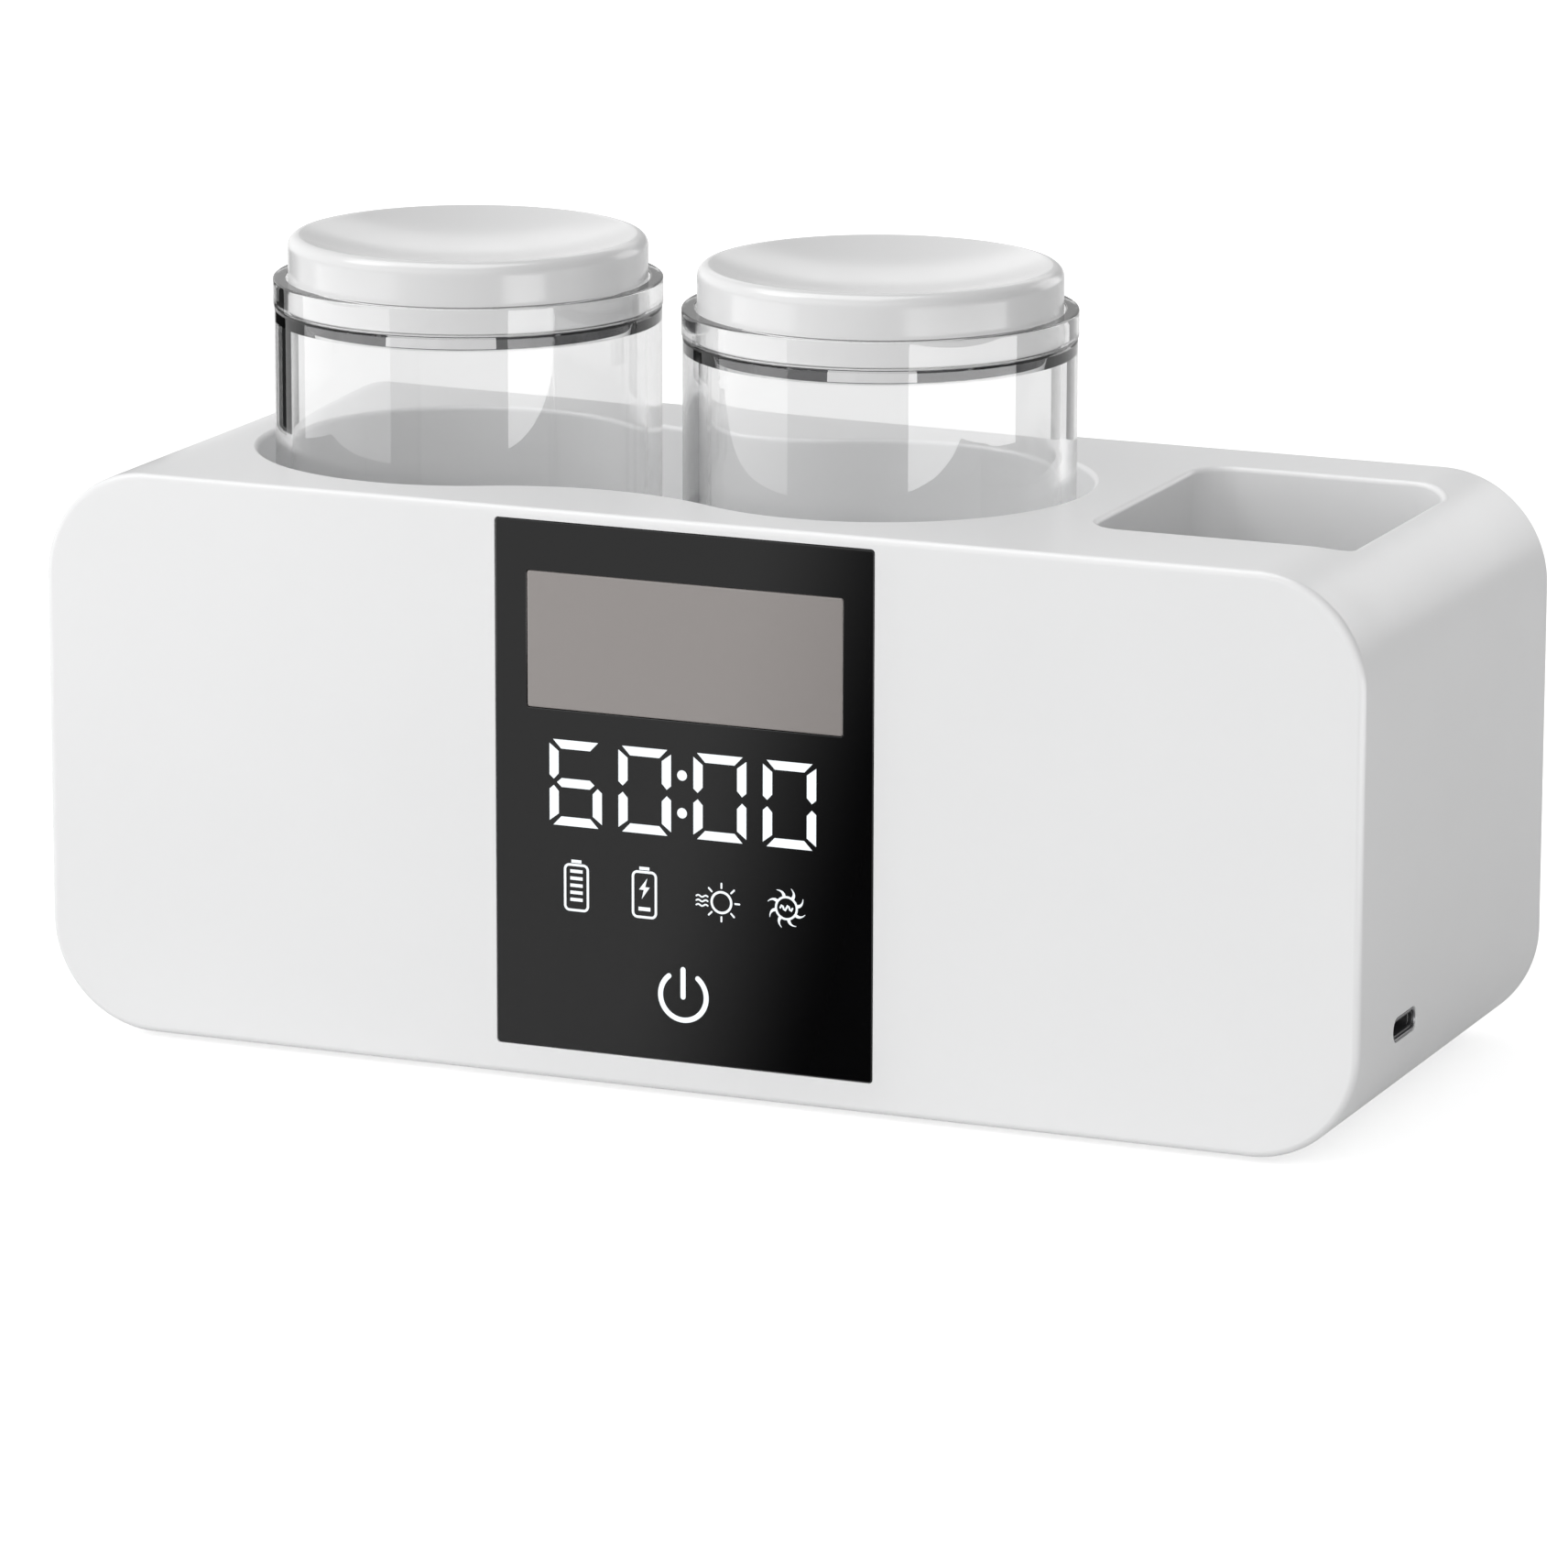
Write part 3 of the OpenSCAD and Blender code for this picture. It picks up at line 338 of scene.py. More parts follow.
def shader(name, color, rough, metallic=0.0, ior=1.5, spec=0.5, coat=0.0, coat_rough=0.05, transmission=0.0,
           tone=0.03, tone_scale=60.0, rough_var=0.05, rough_scale=180.0, grain=0.0, grain_scale=2500.0, grain_depth=0.00002,
           wave=None, sss=0.0, emission=None, alpha=1.0, speck=None, stretch=None, absorb=None):
    """Procedural finish: slow tone changes, patchy roughness and a fine grain in the surface."""
    m = bpy.data.materials.new(name)
    m.use_nodes = True
    nt = m.node_tree
    nt.nodes.clear()
    out = nt.nodes.new("ShaderNodeOutputMaterial")
    b = nt.nodes.new("ShaderNodeBsdfPrincipled")
    nt.links.new(b.outputs[0], out.inputs[0])
    b.inputs["Metallic"].default_value = metallic
    b.inputs["IOR"].default_value = ior
    b.inputs["Specular IOR Level"].default_value = spec
    b.inputs["Coat Weight"].default_value = coat
    b.inputs["Coat Roughness"].default_value = coat_rough
    b.inputs["Transmission Weight"].default_value = transmission
    b.inputs["Alpha"].default_value = alpha
    if sss:
        b.inputs["Subsurface Weight"].default_value = sss
        b.inputs["Subsurface Radius"].default_value = (0.004, 0.0035, 0.003)
        b.inputs["Subsurface Scale"].default_value = 1.0
    tc = nt.nodes.new("ShaderNodeTexCoord")
    coord = tc.outputs["Object"]
    if stretch:
        mp = nt.nodes.new("ShaderNodeMapping")
        mp.inputs["Scale"].default_value = stretch
        nt.links.new(coord, mp.inputs["Vector"])
        coord = mp.outputs["Vector"]

    def noise(scale, detail=3.0, rough_=0.55):
        n = nt.nodes.new("ShaderNodeTexNoise")
        n.inputs["Scale"].default_value = scale
        n.inputs["Detail"].default_value = detail
        n.inputs["Roughness"].default_value = rough_
        nt.links.new(coord, n.inputs["Vector"])
        return n.outputs["Fac"]

    def ranged(fac, lo, hi, f0=0.3, f1=0.7):
        r = nt.nodes.new("ShaderNodeMapRange")
        r.inputs["From Min"].default_value = f0
        r.inputs["From Max"].default_value = f1
        r.inputs["To Min"].default_value = lo
        r.inputs["To Max"].default_value = hi
        nt.links.new(fac, r.inputs["Value"])
        return r.outputs["Result"]

    c = np.array(color[:3], float)
    mix = nt.nodes.new("ShaderNodeMix")
    mix.data_type = "RGBA"
    mix.inputs[6].default_value = (*np.clip(c * (1 - tone), 0, 1), 1)
    mix.inputs[7].default_value = (*np.clip(c * (1 + tone), 0, 1), 1)
    nt.links.new(ranged(noise(tone_scale), 0, 1), mix.inputs[0])
    col = mix.outputs[2]
    if speck:
        m2 = nt.nodes.new("ShaderNodeMix")
        m2.data_type = "RGBA"
        nt.links.new(col, m2.inputs[6])
        m2.inputs[7].default_value = (*speck[0], 1)
        nt.links.new(ranged(noise(speck[1], 1.0), 0, speck[2], 0.62, 0.72), m2.inputs[0])
        col = m2.outputs[2]
    nt.links.new(col, b.inputs["Base Color"])
    nt.links.new(ranged(noise(rough_scale), max(rough - rough_var, 0.0), min(rough + rough_var, 1.0)), b.inputs["Roughness"])
    if grain or wave:
        bump = nt.nodes.new("ShaderNodeBump")
        bump.inputs["Strength"].default_value = grain or wave[1]
        bump.inputs["Distance"].default_value = grain_depth
        if wave:
            wv = nt.nodes.new("ShaderNodeTexWave")
            wv.wave_type = wave[2] if len(wave) > 2 else "BANDS"
            wv.inputs["Scale"].default_value = wave[0]
            wv.inputs["Distortion"].default_value = 0.6
            nt.links.new(coord, wv.inputs["Vector"])
            nt.links.new(wv.outputs["Fac"], bump.inputs["Height"])
        else:
            nt.links.new(noise(grain_scale, 2.0), bump.inputs["Height"])
        nt.links.new(bump.outputs["Normal"], b.inputs["Normal"])
    if absorb:
        va = nt.nodes.new("ShaderNodeVolumeAbsorption")
        va.inputs["Color"].default_value = (*absorb[0], 1)
        va.inputs["Density"].default_value = absorb[1]
        nt.links.new(va.outputs[0], out.inputs["Volume"])
    if emission:
        b.inputs["Emission Color"].default_value = (*emission[0], 1)
        b.inputs["Emission Strength"].default_value = emission[1]
    return m


MAT = {
    "shell_white": shader("shell_white", (0.84, 0.842, 0.845), 0.36, ior=1.49, tone=0.006, tone_scale=25, rough_var=0.03, rough_scale=90, grain=0.12, grain_scale=5200, grain_depth=0.000012),
    "cover_white": shader("cover_white", (0.80, 0.803, 0.808), 0.46, ior=1.49, tone=0.012, tone_scale=30, rough_var=0.05, rough_scale=120, grain=0.35, grain_scale=3200, grain_depth=0.00003),
    "tub_white": shader("tub_white", (0.77, 0.772, 0.775), 0.34, ior=1.49, tone=0.01, rough_var=0.05, grain=0.15, grain_scale=4200, grain_depth=0.000015),
    "lid_white": shader("lid_white", (0.765, 0.765, 0.767), 0.19, ior=1.5, tone=0.005, tone_scale=40, rough_var=0.03, rough_scale=120, grain=0.10, grain_scale=5000, grain_depth=0.00001),
    "panel_black": shader("panel_black", (0.0022, 0.0022, 0.0024), 0.07, ior=1.46, spec=0.5, tone=0.15, tone_scale=30, rough_var=0.02, rough_scale=60),
    "window_taupe": shader("window_taupe", (0.285, 0.262, 0.252), 0.30, ior=1.5, tone=0.004, tone_scale=900, rough_var=0.015, rough_scale=900, coat=0.25, coat_rough=0.12),
    "display_dark": shader("display_dark", (0.015, 0.015, 0.018), 0.45, tone=0.2, tone_scale=200, rough_var=0.1),
    "light_guide": shader("light_guide", (0.86, 0.9, 0.92), 0.25, transmission=0.6, tone=0.02, rough_var=0.08, grain=0.2),
    "circuit_board": shader("circuit_board", (0.020, 0.105, 0.045), 0.38, tone=0.18, tone_scale=500, rough_var=0.12, rough_scale=700, grain=0.35, grain_scale=1800, grain_depth=0.00004, speck=((0.05, 0.22, 0.09), 900, 0.9)),
    "chip_black": shader("chip_black", (0.018, 0.018, 0.020), 0.52, tone=0.2, tone_scale=700, rough_var=0.1, grain=0.4, grain_scale=3500, grain_depth=0.00003),
    "connector_cream": shader("connector_cream", (0.70, 0.66, 0.54), 0.42, tone=0.05, tone_scale=300, rough_var=0.08, grain=0.2),
    "aluminium": shader("aluminium", (0.78, 0.79, 0.80), 0.30, metallic=1.0, tone=0.05, tone_scale=120, rough_var=0.12, rough_scale=240, grain=0.25, grain_scale=900, grain_depth=0.00002, stretch=(1, 14, 1)),
    "copper": shader("copper", (0.80, 0.42, 0.26), 0.30, metallic=1.0, tone=0.10, tone_scale=200, rough_var=0.12, wave=(900, 0.5)),
    "polyimide": shader("polyimide", (0.52, 0.19, 0.035), 0.28, tone=0.15, tone_scale=260, rough_var=0.08, coat=0.3, wave=(420, 0.35)),
    "foam_white": shader("foam_white", (0.76, 0.76, 0.74), 0.88, tone=0.08, tone_scale=900, rough_var=0.06, grain=0.9, grain_scale=1600, grain_depth=0.0002),
    "foam_dark": shader("foam_dark", (0.030, 0.030, 0.032), 0.92, tone=0.4, tone_scale=1300, rough_var=0.05, grain=1.0, grain_scale=1100, grain_depth=0.0003),
    "duct_black": shader("duct_black", (0.030, 0.030, 0.033), 0.48, tone=0.1, tone_scale=150, rough_var=0.08, grain=0.4, grain_scale=2400, grain_depth=0.00004),
    "steel": shader("steel", (0.66, 0.67, 0.69), 0.26, metallic=1.0, tone=0.06, tone_scale=400, rough_var=0.10, rough_scale=500, grain=0.2, grain_scale=2200, grain_depth=0.00001),
    "bronze": shader("bronze", (0.52, 0.34, 0.17), 0.42, metallic=1.0, tone=0.12, tone_scale=900, rough_var=0.12, grain=0.6, grain_scale=4000),
    "magnet": shader("magnet", (0.20, 0.20, 0.215), 0.36, metallic=0.9, tone=0.12, tone_scale=500, rough_var=0.1, grain=0.3),
    "battery_blue": shader("battery_blue", (0.03, 0.13, 0.38), 0.24, tone=0.08, tone_scale=70, rough_var=0.08, rough_scale=140, coat=0.5, coat_rough=0.15, grain=0.25, grain_scale=300, grain_depth=0.0001),
    "sleeve_green": shader("sleeve_green", (0.03, 0.22, 0.12), 0.30, tone=0.1, tone_scale=80, rough_var=0.08, coat=0.4, coat_rough=0.15, grain=0.3, grain_scale=260, grain_depth=0.00012),
    "quartz": shader("quartz", (0.93, 0.95, 1.0), 0.03, ior=1.46, transmission=1.0, tone=0.01, rough_var=0.02, rough_scale=200),
    "rubber_grey": shader("rubber_grey", (0.105, 0.105, 0.110), 0.74, spec=0.35, tone=0.12, tone_scale=700, rough_var=0.08, grain=0.7, grain_scale=2600, grain_depth=0.00006),
    "silicone_grey": shader("silicone_grey", (0.62, 0.62, 0.635), 0.55, tone=0.04, tone_scale=300, rough_var=0.08, grain=0.3, grain_scale=2400),
    "silicone_clear": shader("silicone_clear", (0.90, 0.91, 0.92), 0.28, ior=1.42, transmission=0.75, tone=0.02, tone_scale=300, rough_var=0.06, rough_scale=500),
    "jar_clear": shader("jar_clear", (1.0, 1.0, 1.0), 0.008, ior=1.49, transmission=1.0, tone=0.004, tone_scale=60, rough_var=0.008, rough_scale=120, absorb=((0.02, 0.03, 0.04), 14.0)),
    # near-black seal: painted shade for the dark band seen through the jar wall under the lid, in place of clear
    # silicone
    "seal_shade_black": shader("seal_shade_black", (0.055, 0.055, 0.058), 0.16, ior=1.43, tone=0.05, tone_scale=300, rough_var=0.05, rough_scale=500),
    # mid grey for the pocket liner, a part of the shell's white plastic: painted shade for the dim pocket
    "pocket_shade_grey": shader("pocket_shade_grey", (0.46, 0.462, 0.465), 0.42, ior=1.49, tone=0.01, rough_var=0.05, grain=0.2, grain_scale=4200, grain_depth=0.000015),
    # pale strip in the lid ring: a painted reflection, the light band seen through the jar wall
    "reflection_pale": shader("reflection_pale", (0.90, 0.90, 0.905), 0.22, ior=1.42, transmission=0.2, tone=0.03, tone_scale=300, rough_var=0.05, rough_scale=500),
    # near-black metal for the port shell and dark grey metal for its rim: painted shade, so the port reads as a black
    # slot
    "port_shade_black": shader("port_shade_black", (0.055, 0.055, 0.058), 0.40, metallic=1.0, tone=0.05, tone_scale=500, rough_var=0.08, rough_scale=700),
    "port_rim_shade_grey": shader("port_rim_shade_grey", (0.14, 0.14, 0.145), 0.30, metallic=1.0, tone=0.05, tone_scale=500, rough_var=0.08, rough_scale=700),
    "gold": shader("gold", (0.86, 0.62, 0.24), 0.24, metallic=1.0, tone=0.05, tone_scale=600, rough_var=0.08, rough_scale=900),
    "print_white": shader("print_white", (0.50, 0.53, 0.55), 0.35, tone=0.01, tone_scale=400, rough_var=0.05, emission=((0.93, 0.975, 1.0), 0.60)),
}

for name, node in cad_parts.items():
    for i, s in enumerate(node.material_slots):
        key = s.material.name.split(".")[0] if s.material else None
        if key in MAT:
            s.material = MAT[key]
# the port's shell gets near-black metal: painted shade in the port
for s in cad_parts["usb_shell"].material_slots:
    s.material = MAT["port_shade_black"]


def piece(ob, body, slot, nodes=(), material=None):
    ob.data.materials.clear()
    ob.data.materials.append(MAT[material or slot])
    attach(ob, body)
    if nodes:
        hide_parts(*nodes)
    return ob


# ------------------------------------------------------------------ the shell


def slab_sdf(p, inset=0.0):
    """Distance to the rounded slab and its outward normal, for points in millimetres."""
    q = np.column_stack([np.abs(p[:, 0]) - (W / 2 - R_CORNER), np.abs(p[:, 2] - ZC) - (H / 2 - R_CORNER)])
    s = np.column_stack([np.sign(p[:, 0]), np.sign(p[:, 2] - ZC)])
    out = np.maximum(q, 0)
    length = np.linalg.norm(out, axis=1)
    d2 = length + np.minimum(q.max(1), 0) - R_CORNER
    n2 = np.where((length > 1e-9)[:, None], out / np.maximum(length, 1e-9)[:, None], np.column_stack([q[:, 0] > q[:, 1], q[:, 0] <= q[:, 1]]).astype(float))
    n2 = n2 * s
    a, b = d2 + R_EDGE, np.abs(p[:, 1] - (FRONT + BACK) / 2) - (D / 2 - R_EDGE)
    sy = np.sign(p[:, 1])
    both = (a > 0) & (b > 0)
    d = np.where(both, np.hypot(np.maximum(a, 0), np.maximum(b, 0)), np.maximum(a, b)) - R_EDGE
    n = np.column_stack([n2[:, 0], np.zeros(len(p)), n2[:, 1]])
    ny = np.column_stack([np.zeros(len(p)), sy, np.zeros(len(p))])
    k = np.hypot(np.maximum(a, 0), np.maximum(b, 0))
    kk = np.maximum(k, 1e-9)[:, None]
    n = np.where(both[:, None], n * (np.maximum(a, 0)[:, None] / kk) + ny * (np.maximum(b, 0)[:, None] / kk), np.where((b > a)[:, None], ny, n))
    return d, n


def eight_sdf(p):
    """Distance outside the figure-8 in plan, and its outward direction."""
    x, y = p[:, 0], p[:, 1] - WELL_Y
    best_d, best_n = np.full(len(p), np.nan), np.zeros((len(p), 2))
    for cx, side in ((LEFT_X, 1), (RIGHT_X, -1)):
        dx, dy = x - cx, y
        r = np.hypot(dx, dy)
        ang = np.abs(np.degrees(np.arctan2(dy, side * dx)))
        ok = (ang >= BETA - 1e-6) & ((x < MID_X) if side > 0 else (x >= MID_X))
        best_d[ok] = r[ok] - WELL_R
        best_n[ok] = np.column_stack([dx, dy])[ok] / np.maximum(r[ok], 1e-9)[:, None]
    rest = np.isnan(best_d)
    cy = np.where(y > 0, YB, -YB)
    dx, dy = x - MID_X, y - cy
    r = np.hypot(dx, dy)
    best_d[rest] = (RHO - r)[rest]
    best_n[rest] = -np.column_stack([dx, dy])[rest] / np.maximum(r[rest], 1e-9)[:, None]
    return best_d, best_n


def rr_sdf(p, cx, cy, w, l, r):
    q = np.column_stack([np.abs(p[:, 0] - cx) - (w / 2 - r), np.abs(p[:, 1] - cy) - (l / 2 - r)])
    s = np.column_stack([np.sign(p[:, 0] - cx), np.sign(p[:, 1] - cy)])
    o = np.maximum(q, 0)
    k = np.linalg.norm(o, axis=1)
    d = k + np.minimum(q.max(1), 0) - r
    n = np.where((k > 1e-9)[:, None], o / np.maximum(k, 1e-9)[:, None], np.column_stack([q[:, 0] > q[:, 1], q[:, 0] <= q[:, 1]]).astype(float)) * s
    return d, n


POCKET_F = 0.9  # rounding of the pocket's mouth


def pocket_centres(pts, nor):
    """Centres of the ball that rounds the pocket's mouth, for points on its wall."""
    c = pts + nor * POCKET_F
    dx = np.maximum(np.abs(c[:, 0]) - (W / 2 - R_CORNER), 0)
    zc = ZT - R_CORNER + np.sqrt((R_CORNER - POCKET_F) ** 2 - dx**2)
    up = np.column_stack([np.sign(c[:, 0]) * dx, np.zeros(len(c)), zc - (ZT - R_CORNER)])
    up /= np.linalg.norm(up, axis=1)[:, None]
    return np.column_stack([c, zc]), up


def shell_normals(co, vi, face, n_face):
    p = co[vi]
    d, n = slab_sdf(p)
    out = np.full((len(p), 3), np.nan)

    def all_of(mask):
        bad = np.bincount(face, ~mask, n_face) > 0
        return ~bad[face]

    on = all_of(np.abs(d) < 0.02)
    out[on] = n[on]
    # well wall and its rounded edge
    d8, n8 = eight_sdf(p)
    z = p[:, 2]
    sin = np.clip(1 - (ZT - z) / FLARE, 0, 1)
    cos = np.sqrt(1 - sin**2)
    on = all_of((np.abs(d8 - FLARE * (1 - cos)) < 0.03) & (z > COLLAR_Z - 0.5)) & ~on
    out[on] = np.column_stack([-n8 * cos[:, None], sin])[on]
    # pocket wall and its rounded edge
    dp, np_ = rr_sdf(p, POCKET_X, POCKET_Y, POCKET_W, POCKET_L, POCKET_R)
    wall_p = p[:, :2] - np_ * dp[:, None]
    c, up = pocket_centres(wall_p, np_)
    v = p - c
    r = np.linalg.norm(v, axis=1)
    edge = (np.abs(r - POCKET_F) < 0.05) & (p[:, 2] > c[:, 2] - 0.02)
    walls = (np.abs(dp) < 0.02) & (p[:, 2] <= c[:, 2] + 0.02) & (z > POCKET_COLLAR - 0.5)
    on2 = all_of(edge | walls) & np.isnan(out[:, 0])
    nv = np.where(edge[:, None], v / np.maximum(r, 1e-9)[:, None], np.column_stack([-np_, np.zeros(len(p))]))
    out[on2] = nv[on2]
    return out


def make_shell():
    # outer slab
    rings = []
    for k in range(9):
        t = math.radians(90 * k / 8)
        rings.append((R_EDGE * (1 - math.sin(t)), FRONT + R_EDGE * (1 - math.cos(t))))
    rings += [(i, FRONT + BACK - y) for i, y in reversed(rings)]

    def slab_ring(inset, y, n=44):
        pts, nor = rr_outline(W, H, R_CORNER, n, 0, ZC)
        return along_y(ring(pts, nor, -inset, y))

    shell = loft("housing_shell", [slab_ring(i, y) for i, y in rings])
    boolean(shell, loft("t", [slab_ring(WALL, FRONT + WALL, 32), slab_ring(WALL, BACK + 2, 32)]), "DIFFERENCE")
    # inside: collars, bosses, posts and pegs
    e_pts, e_nor = eight_outline(96, 40)
    p_pts, p_nor = rr_outline(POCKET_W, POCKET_L, POCKET_R, 16, POCKET_X, POCKET_Y)
    inner = [loft("t", [ring(e_pts, e_nor, TUB_T, COLLAR_Z), ring(e_pts, e_nor, TUB_T, ZT + 1)]),
             loft("t", [ring(p_pts, p_nor, 1.8, POCKET_COLLAR), ring(p_pts, p_nor, 1.8, ZT + 1)])]
    tub_pts = [(LEFT_X - 27.8, WELL_Y - 28), (LEFT_X - 27.8, WELL_Y + 28), (RIGHT_X + 27.8, WELL_Y - 28), (RIGHT_X + 27.8, WELL_Y + 28)]
    for x, y in tub_pts:
        inner.append(cylinder("t", x, y, TUB_TOP + 0.1, ZT - 1.4, 3, 40))
    cover_pts = [(-97, ZT - 13), (97, ZT - 13), (-97, ZB + 13), (MID_X, ZB + 6.6), (MID_X, ZT - 8), (103.6, ZB + 31)]
    for x, z in cover_pts:
        inner.append(cylinder_y("t", x, z, 33, 41.2, 3.1, 40))
    inner.append(block("t", (-109, 33.1, ZT - 13.8), (-97, 41.1, ZT - 12.2)))
    inner.append(block("t", (97, 33.1, ZT - 13.8), (109, 41.1, ZT - 12.2)))
    inner.append(block("t", (-109, 33.1, ZB + 12.2), (-97, 41.1, ZB + 13.8)))
    inner.append(block("t", (103.6, 33.1, ZB + 30.2), (109, 41.1, ZB + 31.8)))
    inner.append(block("t", (MID_X - 0.8, 33.1, ZB + 0.7), (MID_X + 0.8, 41.1, ZB + 7)))
    inner.append(block("t", (MID_X - 0.8, 33.1, ZT - 8), (MID_X + 0.8, 41.1, ZT - 0.7)))
    for x, y in ((-22, -34), (46, -34), (-22, 0), (46, 0)):
        inner.append(cylinder("t", x, y, ZB + 0.7, ZB + 7, 2.6, 40))
    for x, y in ((96.6, USB_Y - 5.2), (96.6, USB_Y + 5.2)):
        inner.append(cylinder("t", x, y, ZB + 0.7, USB_Z - 2.65, 2.4, 40))
    for x, y in ((-61.3, -38), (-61.3, 38)):
        inner.append(cylinder("t", x, y, ZB + 0.7, ZB + 6.4, 2.8, 40))
    gx = (G0[0] + G1[0]) / 2
    for sx in (-30.3, 30.3):
        for z in (13, 84):
            inner.append(cylinder_y("t", gx + sx, z, FRONT + 1.6, FRONT + 7.2, 1.0, 28))
    bosses = join("t", inner)
    limit = loft("t", [slab_ring(1.0, FRONT + 1.5, 32), slab_ring(1.0, BACK - 2.0, 32)])
    boolean(bosses, limit, "INTERSECT", True)
    boolean(shell, bosses, "UNION")
    # the well
    e_pts, e_nor = eight_outline(110, 44)
    rr = [ring(e_pts, e_nor, 0, COLLAR_Z - 2), ring(e_pts, e_nor, 0, ZT - FLARE)]
    for k in range(1, 9):
        t = math.radians(90 * k / 8)
        rr.append(ring(e_pts, e_nor, FLARE * (1 - math.cos(t)), ZT - FLARE * (1 - math.sin(t)) + 0.003 * (k == 8)))
    rr += [ring(e_pts, e_nor, FLARE + 0.12, ZT + 0.06), ring(e_pts, e_nor, FLARE + 0.12, ZT + 4)]
    boolean(shell, loft("t", rr), "DIFFERENCE")
    # the pocket
    p_pts, p_nor = rr_outline(POCKET_W, POCKET_L, POCKET_R, 20, POCKET_X, POCKET_Y)
    # more points along the straight sides, where the top curves away
    dense, dnor = [], []
    for i in range(len(p_pts)):
        a, b, na, nb = p_pts[i], p_pts[(i + 1) % len(p_pts)], p_nor[i], p_nor[(i + 1) % len(p_pts)]
        k = max(1, int(np.linalg.norm(b - a) / 1.2))
        for j in range(k):
            f = j / k
            dense.append(a + (b - a) * f)
            v = na + (nb - na) * f
            dnor.append(v / np.linalg.norm(v))
    p_pts, p_nor = np.array(dense), np.array(dnor)
    c, up = pocket_centres(p_pts, p_nor)
    side = np.column_stack([-p_nor, np.zeros(len(p_nor))])
    ang = np.arccos(np.clip(np.einsum("ij,ij->i", side, up), -1, 1))
    rr = [np.column_stack([p_pts, np.full(len(p_pts), POCKET_COLLAR - 2)]), c + side * POCKET_F]
    for k in range(1, 9):
        f = k / 8
        w0, w1 = np.sin((1 - f) * ang) / np.sin(ang), np.sin(f * ang) / np.sin(ang)
        v = side * w0[:, None] + up * w1[:, None]
        rr.append(c + v * POCKET_F + up * (0.003 * (k == 8)))
    tang = np.column_stack([p_nor, np.zeros(len(p_nor))])
    tang = tang - up * np.einsum("ij,ij->i", tang, up)[:, None]
    tang /= np.linalg.norm(tang, axis=1)[:, None]
    last = c + up * POCKET_F + tang * 0.12 + up * 0.06
    rr.append(last)
    rr.append(np.column_stack([last[:, :2], np.full(len(last), ZT + 4)]))
    boolean(shell, loft("t", rr), "DIFFERENCE")
    # recess of the glass panel, with a fine lead-in, and the aperture behind it
    gz = (G0[2] + G1[2]) / 2
    pts, nor = rr_outline(G1[0] - G0[0] + 0.1, G1[2] - G0[2] + 0.1, 0.6, 6, gx, gz)
    fr = [(0, FRONT + 1.35), (0, FRONT + 0.16), (0.05, FRONT + 0.05), (0.165, FRONT - 0.004), (0.2, FRONT - 2)]
    boolean(shell, loft("t", [along_y(ring(pts, nor, g, y)) for g, y in fr]), "DIFFERENCE")
    pts, nor = rr_outline(57.3, 77, 1, 6, gx, 47.5)
    boolean(shell, loft("t", [along_y(ring(pts, nor, 0, y)) for y in (FRONT + 0.5, FRONT + 5)]), "DIFFERENCE")
    # charging port
    pts, nor = rr_outline(10.8, 3.8, 1.8999, 20, USB_Y, USB_Z)
    fr = [(0, X1 - 1.2), (0, X1 - 0.35), (0.1, X1 - 0.1), (0.35, X1 + 0.004), (0.4, X1 + 2)]
    port = loft("t", [along_x(ring(pts, nor, g, x)) for g, x in fr])
    boolean(shell, port, "DIFFERENCE")
    pts, nor = rr_outline(9.2, 3.46, 1.7299, 20, USB_Y, USB_Z)
    boolean(shell, loft("t", [along_x(ring(pts, nor, 0, x)) for x in (X1 - 6, X1 - 0.6)]), "DIFFERENCE")
    # seats of the feet, and screw pilots
    cuts = [cylinder("t", x, y, ZB - 1, ZB + 1, 6.1, 64) for x in (-82, 82) for y in (-30, 30)]
    cuts += [cylinder("t", x, y, TUB_TOP - 1, TUB_TOP + 11, 1.3, 28) for x, y in tub_pts]
    cuts += [cylinder_y("t", x, z, 33.6, 45.6, 1.3, 28) for x, z in cover_pts]
    boolean(shell, join("t", cuts), "DIFFERENCE")
    tidy(shell)
    finish_mesh(shell, 32, shell_normals)
    return piece(shell, "base", "shell_white", ["housing"])


make_shell()

# ------------------------------------------------------------------ well, pocket


